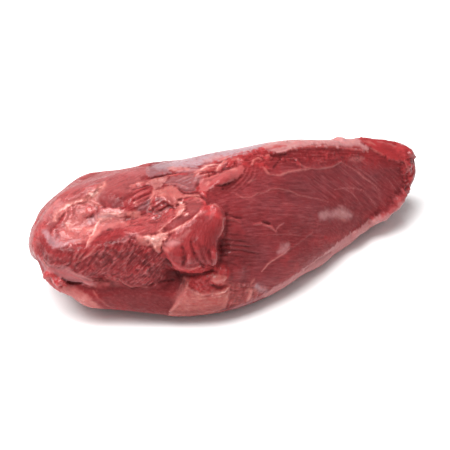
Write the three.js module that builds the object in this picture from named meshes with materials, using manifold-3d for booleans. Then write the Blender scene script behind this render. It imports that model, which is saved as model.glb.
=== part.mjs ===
// A raw beef chuck tender lying on its flat side: one boneless muscle, blunt at one end and tapering to a tip.
// Millimetres, +Z up. +X runs from the blunt end to the tip, and -Y is the side with the flap and the cut face.
// A place on the skin is a station, from 0 at the blunt end to 1 at the tip, and a clock angle in degrees,
// 0 at the front edge, 90 along the crown, 180 at the back edge and 270 underneath.
import * as THREE from "three";
import { mergeVertices } from "three/addons/utils/BufferGeometryUtils.js";
import Module from "manifold-3d";

const wasm = await Module();
wasm.setup();

// Driving sizes of the whole cut
const LENGTH = 272;
const FRONT_HALF_WIDTH = 60; // from the spine to the front edge
const BACK_HALF_WIDTH = 50; // from the spine to the back edge
const CROWN_HEIGHT = 78; // the crown above the board
const GIRTH_RADIUS = 52; // mean radius, which turns clock angles into millimetres around

// How square the ends and the sections are: 2 is an ellipse, more is boxier, less a flat slope with a crest
const BLUNT_END_SQUARENESS = 3;
const TIP_SQUARENESS = 6;
const BACK_SQUARENESS = 2.3;
const UNDERSIDE_SQUARENESS = 2.6;

// Mesh density
const STEPS_AROUND = 84;
const STEPS_ALONG = 52;
const ARC_DIVISIONS = 800;
const LUMP_STEPS = 14;
const LUMP_RING_SHARE = 0.7; // rings of a lump for each step around it
const FLAP_STEPS = 30;

// A smooth curve through [station, value] knots
function along(...knots) {
  const last = knots.length - 1;
  const slope = (k) => {
    const [before, after] = [knots[Math.max(k - 1, 0)], knots[Math.min(k + 1, last)]];
    return (after[1] - before[1]) / (after[0] - before[0]);
  };
  return (station) => {
    if (station <= knots[0][0]) return knots[0][1];
    if (station >= knots[last][0]) return knots[last][1];
    const i = knots.findIndex((knot) => knot[0] > station) - 1;
    const span = knots[i + 1][0] - knots[i][0];
    const t = (station - knots[i][0]) / span;
    const ease = t * t * (3 - 2 * t);
    return (
      knots[i][1] * (1 - ease) +
      knots[i + 1][1] * ease +
      span * t * (1 - t) * ((1 - t) * slope(i) - t * slope(i + 1))
    );
  };
}

// The cross-section along the cut: widths and crown as shares of the driving sizes, the rest in millimetres
const frontWidth = along(
  [0, 0.66], [0.15, 0.82], [0.3, 0.97], [0.45, 1.03], [0.6, 0.82], [0.8, 0.46], [1, 0.34],
);
const backWidth = along(
  [0, 0.95], [0.15, 1.12], [0.3, 1.06], [0.45, 0.98], [0.7, 0.76], [0.88, 0.46], [1, 0.24],
);
const crown = along([0, 0.94], [0.15, 1.05], [0.3, 1], [0.45, 0.98], [0.62, 0.97], [0.82, 0.82], [1, 0.62]);
const edgeHeight = along([0, 44], [0.25, 31], [0.45, 23], [0.6, 18], [0.8, 17], [1, 30]);
const underside = along([0, 12], [0.1, -1], [0.25, -4], [0.6, -3], [0.85, 1], [1, 15]);
const sweep = along([0, 9], [0.2, 5], [0.4, 0], [0.7, 0], [1, 4]);
const faceSquareness = along([0, 2.8], [0.3, 2.6], [0.45, 1.9], [0.62, 1.45], [0.85, 1.4], [1, 1.6]);

// Broad swells and hollows of the skin: they rise outwards, are long along the cut and wide around it,
// and are turned in degrees. Those with a steep rim are level inside it.
const SWELLS = [
  {
    name: "hollow of the blade bone",
    station: 0.105, clock: 68, long: 21, wide: 18, rise: -10, steep: true,
  },
  { name: "raised rim behind the hollow", station: 0.1, clock: 102, long: 26, wide: 9, rise: 4, turn: -10 },
  { name: "muscle below the hollow", station: 0.15, clock: 34, long: 28, wide: 13, rise: 6 },
  {
    name: "wet dip beside the flap",
    station: 0.24, clock: 66, long: 17, wide: 13, rise: -6, turn: 20, steep: true,
  },
  { name: "lobe under the fold", station: 0.05, clock: 314, long: 18, wide: 16, rise: 6 },
  { name: "belly below the flap", station: 0.26, clock: 330, long: 34, wide: 14, rise: 5 },
  { name: "fat pad under the flap", station: 0.34, clock: 350, long: 20, wide: 13, rise: 4 },
  { name: "pit under the flap", station: 0.25, clock: 8, long: 13, wide: 9, rise: -7, steep: true },
  { name: "cut face beside the flap", station: 0.44, clock: 30, long: 20, wide: 24, rise: -5 },
  { name: "crest of the cut face", station: 0.58, clock: 88, long: 34, wide: 9, rise: 2.5 },
  { name: "dish in the cut face", station: 0.68, clock: 40, long: 36, wide: 18, rise: -1.5 },
  { name: "knob of the tip", station: 0.92, clock: 90, long: 15, wide: 10, rise: 2.5 },
];

// Folds and seams: a path of [station, clock] places, pressed in by depth over a half-width
const FOLDS = [
  { name: "fold above the lobe", path: [[0.035, 334], [0.06, 346], [0.1, 354]], depth: 8, halfWidth: 4.5 },
  { name: "line on from the fold", path: [[0.1, 354], [0.18, 358], [0.27, 5]], depth: 2.5, halfWidth: 4 },
  {
    name: "fold behind the blunt end",
    path: [[0.04, 320], [0.07, 290], [0.11, 250]],
    depth: 4, halfWidth: 5,
  },
  {
    name: "seam along the back",
    path: [[0.12, 196], [0.35, 188], [0.62, 194], [0.86, 186]],
    depth: 3, halfWidth: 5,
  },
  { name: "groove in torn meat", path: [[0.17, 70], [0.21, 84], [0.25, 94]], depth: 3, halfWidth: 3.5 },
  { name: "next groove", path: [[0.22, 70], [0.26, 82], [0.3, 90]], depth: 2.5, halfWidth: 3.5 },
  { name: "seam behind the ridge", path: [[0.3, 92], [0.4, 98], [0.5, 94]], depth: 2, halfWidth: 4 },
];

// Lumps of meat and fat that stand on the skin: long along the cut, wide around it, proud of the skin
const LUMPS = [
  { name: "torn lip of the hollow", station: 0.125, clock: 96, long: 28, wide: 8, proud: 3, turn: -6 },
  { name: "membrane beside the hollow", station: 0.165, clock: 79, long: 22, wide: 9, proud: 2, turn: -24 },
  { name: "strip on the ridge", station: 0.43, clock: 76, long: 32, wide: 11, proud: 4, turn: 14 },
  { name: "fat knot on the ridge", station: 0.4, clock: 86, long: 22, wide: 9, proud: 3, turn: 10 },
  { name: "torn meat on the crest", station: 0.5, clock: 88, long: 30, wide: 10, proud: 3, turn: 6 },
  { name: "fat behind the flap", station: 0.3, clock: 74, long: 30, wide: 13, proud: 3.5, turn: -8 },
  { name: "root of the flap", station: 0.33, clock: 60, long: 24, wide: 20, proud: 5, turn: 30 },
  { name: "scrap under the flap", station: 0.37, clock: 10, long: 19, wide: 12, proud: 2.5, turn: 12 },
  { name: "red scrap in the fold", station: 0.07, clock: 344, long: 20, wide: 8, proud: 2, turn: -10 },
  { name: "corner of the tip", station: 0.965, clock: 66, long: 16, wide: 12, proud: 3, turn: 0 },
  { name: "edge of the tip", station: 0.965, clock: 48, long: 10, wide: 16, proud: 2.5, turn: 0 },
];
const LUMP_SQUARENESS = 2.4;
const LUMP_SINK = 2.5; // how far below the skin a lump has its middle

// The flap: a thick tongue of meat folded over the front, free along its lower and right sides
const FLAP = { station: 0.296, clock: 40, long: 38, wide: 40, thick: 22, proud: 10, turn: 20, squareness: 3.2 };
const FLAP_TAPER = 0.16; // how much narrower the flap's upper end is
const FLAP_CURL = 5; // how far its free edge curls in
const FLAP_ROOT = { above: 9, behind: 6 }; // how far it dives into the body where it is attached
const FINGER = { count: 2, depth: 1.6 }; // the lobes of its lower edge

// Slow unevenness of the whole surface, and the knobbly shape of torn lumps
const RIPPLE = { waves: 9, shortest: 20, longest: 48, height: 0.4, seed: 7 };
const KNOBS = { waves: 7, shortest: 9, longest: 18, height: 0.42, seed: 12 };

const radians = THREE.MathUtils.degToRad;

function signedPower(value, power) {
  return Math.sign(value) * Math.abs(value) ** power;
}

// How far the section has opened at a station: 0 at the two ends and 1 in the middle
function closingAt(station) {
  const squareness = station < 0.5 ? BLUNT_END_SQUARENESS : TIP_SQUARENESS;
  return Math.max(1 - Math.abs(1 - 2 * station) ** squareness, 0) ** (1 / squareness);
}

// The smooth skin, before swells and folds
function smoothSkin(station, clock) {
  const closing = closingAt(station);
  const [out, up] = [Math.cos(radians(clock)), Math.sin(radians(clock))];
  const upperSquareness = out > 0 ? faceSquareness(station) : BACK_SQUARENESS;
  const squareness = up < 0 ? UNDERSIDE_SQUARENESS : upperSquareness;
  const width = out > 0 ? FRONT_HALF_WIDTH * frontWidth(station) : BACK_HALF_WIDTH * backWidth(station);
  const middle = edgeHeight(station);
  const reach = up > 0 ? CROWN_HEIGHT * crown(station) - middle : middle - underside(station);
  return new THREE.Vector3(
    (station - 0.5) * LENGTH,
    sweep(station) - signedPower(out, 2 / squareness) * width * closing,
    middle + signedPower(up, 2 / squareness) * reach * closing,
  );
}

const AXIS_STEP = [0.008, 1.5]; // the station and the clock angle over which the skin's slope is taken

// Axes on the skin: along the cut, around it towards the crown, and outwards
function axesAt(station, clock) {
  const [nudge, turn] = AXIS_STEP;
  const inside = THREE.MathUtils.clamp(station, 2 * nudge, 1 - 2 * nudge);
  const length = smoothSkin(inside + nudge, clock).sub(smoothSkin(inside - nudge, clock)).normalize();
  const round = smoothSkin(inside, clock + turn).sub(smoothSkin(inside, clock - turn));
  const outward = new THREE.Vector3().crossVectors(length, round).normalize();
  const around = new THREE.Vector3().crossVectors(outward, length).normalize();
  return { length, around, outward };
}

// Millimetres along and around from one place to another, on the skin laid flat
function flatOffset(station, clock, fromStation, fromClock) {
  const turn = THREE.MathUtils.euclideanModulo(clock - fromClock + 180, 360) - 180;
  const radius = GIRTH_RADIUS * Math.sqrt(closingAt(station) * closingAt(fromStation));
  return new THREE.Vector2((station - fromStation) * LENGTH, radians(turn) * radius);
}

function swellAt(station, clock) {
  return SWELLS.reduce((sum, swell) => {
    const offset = flatOffset(station, clock, swell.station, swell.clock);
    offset.rotateAround(new THREE.Vector2(), -radians(swell.turn ?? 0));
    const spread = (offset.x / swell.long) ** 2 + (offset.y / swell.wide) ** 2;
    return sum + swell.rise * Math.exp(-(swell.steep ? spread ** 2 : spread));
  }, 0);
}

function distanceToStep(station, clock, from, to) {
  const point = flatOffset(station, clock, ...from);
  const step = flatOffset(...to, ...from);
  const share = THREE.MathUtils.clamp(point.dot(step) / step.lengthSq(), 0, 1);
  return point.distanceTo(step.multiplyScalar(share));
}

function foldAt(station, clock) {
  return FOLDS.reduce((sum, fold) => {
    const steps = fold.path.slice(1).map((to, i) => distanceToStep(station, clock, fold.path[i], to));
    return sum - fold.depth * Math.exp(-((Math.min(...steps) / fold.halfWidth) ** 2));
  }, 0);
}

// A repeatable draw of numbers from 0 to 1, by the usual congruential rule
const DRAW = { factor: 16807, modulus: 2147483647, spreadSeeds: 7919 };
function seededDraw(seed) {
  let state = seed * DRAW.spreadSeeds;
  return () => {
    state = (state * DRAW.factor) % DRAW.modulus;
    return state / DRAW.modulus;
  };
}

function makeRipple({ waves, shortest, longest, height, seed }) {
  const draw = seededDraw(seed);
  const set = Array.from({ length: waves }, () => {
    const direction = new THREE.Vector3(draw() - 0.5, 2 * draw() - 1, 2 * draw() - 1).normalize();
    const pitch = shortest + (longest - shortest) * draw();
    return { direction: direction.multiplyScalar((2 * Math.PI) / pitch), phase: 2 * Math.PI * draw() };
  });
  const rise = (wave, point) => height * Math.sin(wave.direction.dot(point) + wave.phase);
  return (point) => set.reduce((sum, wave) => sum + rise(wave, point), 0);
}
const ripple = makeRipple(RIPPLE);
const knobs = makeRipple(KNOBS);

// The real skin: swells, folds and unevenness pushed in or out of the smooth one
function skin(station, clock) {
  const base = smoothSkin(station, clock);
  const rise = swellAt(station, clock) + foldAt(station, clock) + ripple(base);
  return base.addScaledVector(axesAt(station, clock).outward, rise);
}

// The shares of a line at which it is cut into steps of one length
function evenShares(placeAt, steps) {
  const line = new THREE.Curve();
  line.getPoint = placeAt;
  line.arcLengthDivisions = ARC_DIVISIONS;
  return Array.from({ length: steps + 1 }, (_, i) => line.getUtoTmapping(i / steps));
}

// Clock angles evenly spaced on each quarter of a section, which keeps vertices on its edges and its crest
function evenClocks(station) {
  const quarter = STEPS_AROUND / 4;
  const inside = THREE.MathUtils.clamp(station, AXIS_STEP[0], 1 - AXIS_STEP[0]);
  return [0, 90, 180, 270].flatMap((start) =>
    evenShares((share) => smoothSkin(inside, start + 90 * share), quarter)
      .slice(0, quarter)
      .map((share) => start + 90 * share),
  );
}

function bodyGeometry() {
  const geometry = new THREE.SphereGeometry(1, STEPS_AROUND, STEPS_ALONG);
  const position = geometry.getAttribute("position");
  const profile = (station) => new THREE.Vector2(station * LENGTH, closingAt(station) * GIRTH_RADIUS);
  evenShares(profile, STEPS_ALONG).forEach((station, ring) => {
    const clocks = evenClocks(station);
    const atPole = ring === 0 || ring === STEPS_ALONG;
    for (let step = 0; step <= STEPS_AROUND; step += 1) {
      const point = skin(station, atPole ? 0 : clocks[step % STEPS_AROUND]);
      position.setXYZ(ring * (STEPS_AROUND + 1) + step, ...point.toArray());
    }
  });
  return geometry;
}

// A rounded lump with the given full sizes, as a sphere pushed out to a squarer shape
function lumpGeometry(long, wide, thick, squareness, steps) {
  const geometry = new THREE.SphereGeometry(1, steps, Math.round(steps * LUMP_RING_SHARE));
  const position = geometry.getAttribute("position");
  const point = new THREE.Vector3();
  for (let i = 0; i < position.count; i += 1) {
    point.fromBufferAttribute(position, i);
    const sum = point.toArray().reduce((total, side) => total + Math.abs(side) ** squareness, 0);
    point.multiplyScalar(sum ** (-1 / squareness));
    position.setXYZ(i, (point.x * long) / 2, (point.y * wide) / 2, (point.z * thick) / 2);
  }
  return geometry;
}

// Stands a lump on the skin: its x along the cut, y towards the crown and z outwards, then turned
function placeOnSkin(geometry, { station, clock, turn }, centreHeight) {
  const { length, around, outward } = axesAt(station, clock);
  const seat = skin(station, clock).addScaledVector(outward, centreHeight);
  const frame = new THREE.Matrix4().makeBasis(length, around, outward).setPosition(seat);
  return geometry.rotateZ(radians(turn)).applyMatrix4(frame);
}

// Pushes a lump's surface in and out from its middle
function roughen(geometry) {
  geometry.computeBoundingBox();
  const centre = geometry.boundingBox.getCenter(new THREE.Vector3());
  const position = geometry.getAttribute("position");
  for (let i = 0; i < position.count; i += 1) {
    const point = new THREE.Vector3().fromBufferAttribute(position, i);
    const away = point.clone().sub(centre).normalize();
    position.setXYZ(i, ...point.addScaledVector(away, knobs(point)).toArray());
  }
  return geometry;
}

function standingLump(lump) {
  const shape = lumpGeometry(lump.long, lump.wide, 2 * (lump.proud + LUMP_SINK), LUMP_SQUARENESS, LUMP_STEPS);
  return roughen(placeOnSkin(shape, lump, -LUMP_SINK));
}

// The flap is broadest at its lobed lower edge, which curls in towards the body.
// Above and on its left it is attached.
function flapGeometry() {
  const geometry = lumpGeometry(FLAP.long, FLAP.wide, FLAP.thick, FLAP.squareness, FLAP_STEPS);
  const position = geometry.getAttribute("position");
  for (let i = 0; i < position.count; i += 1) {
    const across = position.getX(i) / (FLAP.long / 2);
    const drop = -position.getY(i) / (FLAP.wide / 2);
    const free = Math.max(drop, 0);
    const root = FLAP_ROOT.above * Math.max(-drop, 0) ** 2 + FLAP_ROOT.behind * Math.max(-across, 0) ** 2;
    const lobes = FINGER.depth * Math.cos(across * Math.PI * FINGER.count) * free ** 2;
    position.setX(i, position.getX(i) * (1 + FLAP_TAPER * drop));
    position.setY(i, position.getY(i) - lobes);
    position.setZ(i, position.getZ(i) - FLAP_CURL * free ** 2 - root);
  }
  return roughen(placeOnSkin(geometry, FLAP, FLAP.proud - FLAP.thick / 2));
}

function solidOf(geometry) {
  geometry.deleteAttribute("normal");
  geometry.deleteAttribute("uv");
  const merged = mergeVertices(geometry, 1e-3);
  return new wasm.Manifold(
    new wasm.Mesh({
      numProp: 3,
      vertProperties: merged.getAttribute("position").array,
      triVerts: merged.index.array,
    }),
  );
}

function geometryOf(solid) {
  const mesh = solid.getMesh();
  return new THREE.BufferGeometry()
    .setAttribute("position", new THREE.BufferAttribute(mesh.vertProperties, 3))
    .setIndex(new THREE.BufferAttribute(mesh.triVerts, 1));
}

// The board under the meat, which presses the underside flat
function boardSolid() {
  const [margin, depth] = [60, 40];
  const width = FRONT_HALF_WIDTH + BACK_HALF_WIDTH;
  const board = new THREE.BoxGeometry(LENGTH + margin, width + margin, depth);
  return solidOf(board.translate(0, 0, -depth / 2));
}

let meat = solidOf(bodyGeometry());
for (const piece of [flapGeometry(), ...LUMPS.map(standingLump)]) meat = meat.add(solidOf(piece));
meat = meat.subtract(boardSolid());

const tender = new THREE.Mesh(
  geometryOf(meat),
  new THREE.MeshStandardMaterial({ color: 0x9a3438, roughness: 0.38, metalness: 0 }),
);
tender.name = "chuck_tender";

// The origin is under the middle of the meat, on the board
const box = new THREE.Box3().setFromObject(tender);
const middle = box.getCenter(new THREE.Vector3());
tender.geometry.translate(-middle.x, -middle.y, -box.min.z);

const group = new THREE.Group();
group.add(tender);

export default group;
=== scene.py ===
"""Dresses the raw chuck tender: its torn and trimmed surface, its fat and silverskin, and the stage."""

import math

import bmesh
import bpy
import numpy as np
from mathutils import Matrix, Vector, noise
from mathutils.bvhtree import BVHTree
from mathutils.kdtree import KDTree


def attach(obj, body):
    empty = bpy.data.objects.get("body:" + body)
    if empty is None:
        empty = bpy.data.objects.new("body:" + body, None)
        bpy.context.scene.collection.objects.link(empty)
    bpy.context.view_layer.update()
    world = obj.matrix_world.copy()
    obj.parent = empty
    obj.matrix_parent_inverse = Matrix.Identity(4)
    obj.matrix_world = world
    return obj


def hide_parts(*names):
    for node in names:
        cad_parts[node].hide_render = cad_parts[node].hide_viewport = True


bl_info = {
    "name": "Raw chuck tender",
    "version": (1, 0, 0),
    "blender": (4, 5, 0),
    "location": "View3D > Sidebar > Chuck tender",
    "description": "Dresses a packed chuck tender as raw meat and sets it on a pale floor",
    "category": "Object",
}

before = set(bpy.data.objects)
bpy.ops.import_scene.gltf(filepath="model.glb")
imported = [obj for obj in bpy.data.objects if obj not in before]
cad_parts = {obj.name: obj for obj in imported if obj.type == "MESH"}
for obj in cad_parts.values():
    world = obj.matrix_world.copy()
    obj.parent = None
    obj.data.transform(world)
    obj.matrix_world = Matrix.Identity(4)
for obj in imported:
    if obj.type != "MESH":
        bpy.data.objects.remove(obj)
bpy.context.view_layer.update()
CAD_NODE = "chuck_tender"
MM = 0.001

# The camera that the photograph was taken with, as far as its outline tells
PHOTO_SIZE = 450
SENSOR_WIDTH = 36.0
LENS = 138.0
VIEW_AZIMUTH = math.radians(-28)
VIEW_ELEVATION = math.radians(35)
VIEW_TARGET = Vector((-0.009, 0.0, 0.0314))
VIEW_DISTANCE = 1.12
FOCAL_PIXELS = PHOTO_SIZE * LENS / SENSOR_WIDTH

# Which way the fibres run: everywhere first, then where the paint of that name says otherwise
FIBRE_WAYS = {
    "lengthwise": (0.93, 0.07, -0.35),
    "fanned": (0.68, -0.27, -0.68),
    "slanted": (0.60, -0.30, 0.74),
    "level": (0.95, 0.31, 0.0),
    "upright": (0.47, 0.33, 0.82),
}

# What a mark can paint, each kept as a value from 0 to 1 on the surface
# The crease paint is painted shade, the crest paint painted light, and the dry paint partly a painted sheen.
PAINTS = (
    "fat", "silver", "bright", "dark", "pink", "dry", "wet", "torn", "fanned", "slanted", "level", "upright",
    "crease", "crest"
)

# Rounded lumps of meat joined to the solid, and rounded cuts into it, before it is marked. Each has its
# middle and the place it is level with, both in the photograph's pixels, how many millimetres its middle
# lies behind that place, its half width, half height and half depth in millimetres, and its lean in degrees.
LUMPS = [
    ("shoulder of the flap", (214.5, 221), (208, 222), 7.0, (7.0, 11.5, 7.5), 3),
    ("lower right of the flap", (212.5, 255), (208, 250), 5.0, (3.6, 7.5, 6.0), -4),
    ("knob under the flap", (221, 270), (221, 270), 0.5, (3.6, 3.2, 3.4), 0),
    ("pale lump under the flap", (216, 279), (216, 279), 1.0, (5.4, 3.0, 3.4), 10),
    ("scrap in the fold", (49, 275), (49, 268), 2.5, (5.0, 3.2, 4.0), -30),
    ("second scrap in the fold", (60, 282), (58, 270), 4.0, (4.6, 2.6, 4.0), -25),
    ("pale lump in the hollow", (81.5, 214.5), (81.5, 214.5), 0.3, (2.3, 2.2, 2.0), 0),
    ("red lump in the hollow", (91, 211.5), (91, 211.5), 0.4, (3.6, 2.6, 2.4), -15),
    ("tongue in the hollow", (64, 235), (64, 235), 0.4, (3.2, 2.6, 2.2), 35),
    ("tip of the tongue", (70, 237.5), (70, 237.5), 0.3, (3.0, 1.8, 1.8), 10),
    ("knob on the membrane", (121, 215), (121, 215), 0.8, (2.4, 2.4, 2.0), 0),
    ("fat branch", (88, 232), (88, 232), 0.3, (3.2, 1.7, 1.8), -35),
    ("fat knot of the ridge", (221, 165.5), (221, 165.5), 0.3, (4.2, 1.6, 1.8), -42),
    ("red lump of the ridge", (229.5, 164), (229.5, 164), 0.3, (2.5, 2.6, 2.0), -30),
    ("second red lump of the ridge", (240, 161.5), (240, 161.5), 0.5, (3.4, 2.0, 1.9), -30),
    ("tan lump of the ridge", (206, 169.5), (206, 169.5), 0.4, (4.4, 1.9, 2.0), -25),
    ("second tan lump", (198, 174), (198, 174), 0.4, (3.4, 1.6, 1.8), -25),
    ("third tan lump", (204, 175.5), (204, 175.5), 0.5, (4.4, 1.4, 1.6), -20),
]
CUTS = [
    ("flank of the flap", (226, 247), (238, 247), -12.5, (5.8, 9.0, 12.0), 0),
]


def line(label, places, width, **effects):
    """A mark drawn along places in the photograph, in pixels, so many millimetres wide."""
    return "line", places, width, effects


def area(label, outline, softness, **effects):
    """A mark that fills an outline in the photograph, its edge so many pixels soft."""
    return "area", outline, softness, effects


# Marks on the side that shows. Each has a label, which only says what it is, and its effects: what it paints
# or, below zero, rubs out, how far it rises out of the surface in millimetres, how far it is lifted towards
# the camera or, as a ledge, how high its left side stands over its right. A firm line has a ragged edge, and
# the others fade out. An area can be evened out so many times.
# Where a mark paints dark in a gap, cut, slit, pit, pocket, groove, fold, crease, wrinkle or hollow,
# that is painted shade, and what a mark named light or glint paints is painted light.
GROUND_MARKS = [
    # The blunt end's top is painted pinker: partly its thin skin, partly a painted sheen.
    area("blunt end's top", [(24, 246), (26, 226), (36, 206), (50, 188), (76, 172), (112, 158), (150, 158),
         (150, 182), (136, 190), (126, 202), (105, 205), (88, 199), (70, 205), (58, 217), (48, 229),
         (40, 240), (36, 256)], 2.5, level=1, pink=0.36, torn=0.08),
    area("blunt end's front", [(38, 252), (60, 250), (90, 248), (125, 236), (160, 236), (166, 262),
         (170, 282), (150, 288), (110, 281), (60, 272), (40, 260)], 2.5, slanted=1, torn=0.5),
    area("hollow", [(60, 222), (66, 211), (78, 204), (92, 208), (104, 208), (124, 210), (124, 218),
         (104, 222), (92, 232), (86, 242), (70, 246), (56, 243), (50, 234)], 2, pink=0.6, fat=0.12, wet=0.5,
         rise=1.2, torn=0.4, bright=0.3),
    area("torn slope", [(120, 202), (134, 184), (150, 184), (164, 196), (178, 206), (176, 216), (164, 224),
         (150, 232), (126, 230), (118, 216)], 2, level=1, torn=0.35, wet=0.4, bright=0.3),
    area("torn crest of the ridge", [(194, 184), (204, 174), (214, 162), (232, 154), (256, 148), (274, 149),
         (272, 163), (256, 165), (242, 166), (226, 168), (212, 174), (204, 184)], 2, torn=0.4, bright=0.35),
    area("lower lobe", [(104, 284), (130, 287), (160, 286), (176, 282), (172, 312), (140, 312), (108, 306),
         (96, 292)], 2, torn=-1, dark=0.3),
    area("meat under the flap", [(186, 268), (216, 266), (228, 268), (228, 290), (214, 295), (196, 292),
         (186, 284)], 1.5, torn=0.4, bright=0.6),
    area("pad of fat", [(186, 288), (202, 294), (218, 294), (228, 292), (228, 304), (222, 311), (196, 315),
         (168, 316), (176, 300), (181, 289)], 1.8, fat=0.5, torn=-0.5, rise=0.4),
    area("layered foot", [(226, 280), (240, 284), (256, 284), (270, 288), (256, 300), (228, 308), (226, 292)],
         1.5, torn=0.55, fat=0.15),
    area("flap", [(162, 247), (166, 240), (172, 234), (180, 229), (188, 223), (195, 216), (199, 211),
         (205, 206), (212, 204.5), (219, 208), (223, 214), (224, 224), (222, 236), (217, 245), (217.5, 258),
         (215, 266), (208, 268), (202, 270), (192, 271.5), (180, 270), (172, 263), (167, 256)], 1.1, lift=0.8,
         upright=1, torn=-0.8, slanted=-1),
    area("roundness of the flap", [(168, 246), (182, 236), (198, 220), (206, 209), (214, 208), (220, 212),
         (222, 224), (219, 238), (214, 246), (214, 262), (200, 266), (180, 266), (170, 256)], 2.5, even=16),
    area("plain beside the flap", [(230, 262), (248, 260), (250, 276), (242, 286), (231, 284)], 3, even=80),
    area("shaded wrinkles", [(222, 236), (238, 232), (256, 238), (258, 256), (244, 268), (226, 266),
         (220, 256)], 6, dark=0.3),
    # The trimmed face is painted duller and greyer: partly its own dulled tone, partly a painted sheen.
    area("trimmed face", [(206, 200), (236, 190), (262, 170), (282, 165), (345, 160), (395, 172), (402, 198),
         (350, 236), (300, 272), (262, 292), (240, 292), (230, 270), (226, 236), (226, 212)], 8, dry=0.8),
    area("right half of the face", [(300, 172), (345, 158), (380, 160), (402, 172), (402, 204), (360, 232),
         (330, 240), (322, 206)], 8, fanned=1),
    area("ragged end of the tip", [(396, 150), (414, 156), (413, 176), (408, 196), (402, 204), (402, 176)], 2,
         torn=0.6),
]
OUTLINE_MARKS = [
    line("blunt end's bulge", [(30, 228), (28, 240), (30, 254)], 17, rise=4),
    line("foot of the blunt end", [(48, 280), (53, 287)], 8, rise=-2),
    line("foot of the pale pad", [(64, 294), (70, 300), (80, 306), (92, 309)], 9, rise=2.2),
    line("foot right of the pale pad", [(100, 310), (110, 312), (120, 312)], 8, rise=-1.8),
    line("shoulder above the blunt end", [(84, 178), (100, 171), (125, 167), (150, 165)], 8, rise=-1.2),
    line("crest over the face", [(298, 139), (312, 138), (330, 138), (342, 140)], 9, rise=1.8),
    line("low edge of the tip", [(407, 196), (399, 206), (389, 216), (379, 224)], 9, rise=3.8),
    line("low edge left of the tip", [(386, 214), (377, 219.5), (369, 225), (361, 230.5), (354, 235)], 8,
         rise=2),
    line("hem of the tip", [(404, 201), (397, 208), (390, 214), (384, 219)], 9, rise=2),
    line("low edge under the face", [(306, 270), (318, 262), (331, 254)], 7, rise=-1.3),
    line("crest before the tip", [(366, 141), (380, 141), (395, 144)], 7, rise=-1.2),
]
HOLLOW_MARKS = [
    area("floor", [(72, 219), (80, 218), (90, 218), (94, 224), (88, 230), (80, 233), (72, 231)],
         2, fat=0.22, pink=0.7, bright=0.4, wet=0.6, torn=-0.4, even=6),
    line("pale side", [(66, 224), (70, 222), (74, 225)], 6, fat=0.45, pink=0.8, wet=0.8),
    line("folds at the hollow's left", [(66, 209), (67, 215), (65, 221)], 2.2, rise=0.7, pink=0.8),
    line("second fold", [(71, 207), (72, 213), (71, 219)], 2.2, rise=0.7, pink=0.8),
    line("red between the folds", [(69, 208), (69.5, 214), (68, 220)], 1.4, rise=-0.3, bright=0.9),
    line("torn lip", [(60, 217), (66, 208.5), (72, 204), (81, 201), (90, 200.5), (97, 203), (102, 207)], 2.6,
         rise=0.9, pink=0.8, fat=0.3, torn=0.3),
    line("glint at the lip's end", [(96.5, 205), (99, 206)], 2.2, fat=0.8, wet=1),
    line("red at the lip's end", [(100, 208), (102.5, 207)], 2.2, bright=1, wet=1, rise=0.4),
    line("red below the lip", [(75, 207), (84, 206), (94, 207)], 2.8, bright=0.9, rise=-0.1),
    line("pink lip", [(68, 211), (76, 206), (86, 204), (96, 207)], 5, pink=0.8, torn=0.6, rise=0.5),
    line("glints of the lip", [(74, 203), (80, 205), (88, 202), (94, 206)], 1.6, fat=0.6, wet=1),
    line("pale lump", [(79, 215), (84, 213)], 4.4, fat=0.4, pink=0.9),
    line("glints of the pale lump", [(79, 213), (82, 214.5)], 1.4, fat=0.9, wet=1),
    line("red lump", [(87, 212), (95, 210.5)], 5.4, bright=0.9, wet=0.6),
    line("glint between the lumps", [(85, 211.5), (86.5, 210.5)], 1.8, fat=0.9, wet=1),
    line("red under the lumps", [(86, 217.5), (92, 217), (98, 214)], 1.8, bright=1, rise=-0.5),
    line("tongue", [(61, 233), (66, 236), (73, 238)], 5.6, fat=0.4, pink=0.9, torn=0.5),
    line("cut under the tongue", [(61, 241), (68, 241.8), (75, 239.8)], 1.3, rise=-0.9, bright=1, dark=0.35),
    line("dark wall", [(50, 232), (55, 226), (60, 218), (64, 213)], 3, rise=-0.25, dark=0.4,
         bright=0.5),
    area("silver crescent", [(42.5, 229), (47, 230), (51, 236), (54, 240), (57, 233), (60, 235), (60, 242),
         (64, 243.5), (60, 247), (54, 248.5), (49, 244), (45, 237)], 1.8, silver=0.5, pink=0.5, bright=0.2,
         dark=-1, even=8, rise=-0.3),
    line("light of the crescent", [(45, 232), (48, 238), (53, 245), (57, 247)], 2.6, silver=0.75),
    line("silver tail", [(54, 248), (61, 246), (69, 243.5), (79, 241.5)], 3.6, silver=0.7, pink=0.7, rise=0.4,
         wet=0.5),
    line("white of the tail", [(66, 243), (74, 241.5), (82, 243)], 1.6, fat=0.8, rise=0.3),
    line("membrane", [(90, 223), (97, 219), (104, 216), (112, 216)], 6.5, silver=0.65, wet=0.6, fat=-0.4),
    line("white of the membrane", [(100, 213.5), (107, 213.5), (113, 213)], 2.6, silver=0.6, fat=0.85, wet=1,
         rise=0.15),
    line("second white of the membrane", [(98, 218), (105, 216.5), (111, 217)], 1.8, fat=0.8, wet=1,
         rise=0.15),
    line("knob", [(118, 217), (122, 213)], 4.4, fat=0.6, bright=0.4),
    line("white of the knob", [(119, 213), (122, 212.5)], 1.6, fat=0.95, wet=1),
    line("fat string", [(107, 218), (101, 222), (97, 228), (93.5, 235), (89, 241), (87, 246)], 3.6, fat=0.9,
         rise=0.8),
    line("fat branch's paint", [(92, 229), (88, 232), (83, 236)], 3.4, fat=0.8),
    line("red under the branch", [(82, 237.5), (88, 236.5), (92, 233)], 1.6, bright=1, rise=-0.5),
    line("red beside the string", [(103, 226), (107, 221), (111, 219)], 4, bright=1, wet=0.6, fat=-1),
    line("fat beside the pit", [(109, 226), (114, 223.5), (121, 223), (128, 225)], 3.4, fat=0.6, rise=0.7),
    line("pit beside the string", [(107, 229.5), (112, 229)], 2.8, rise=-1.2, dark=0.9),
]
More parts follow.
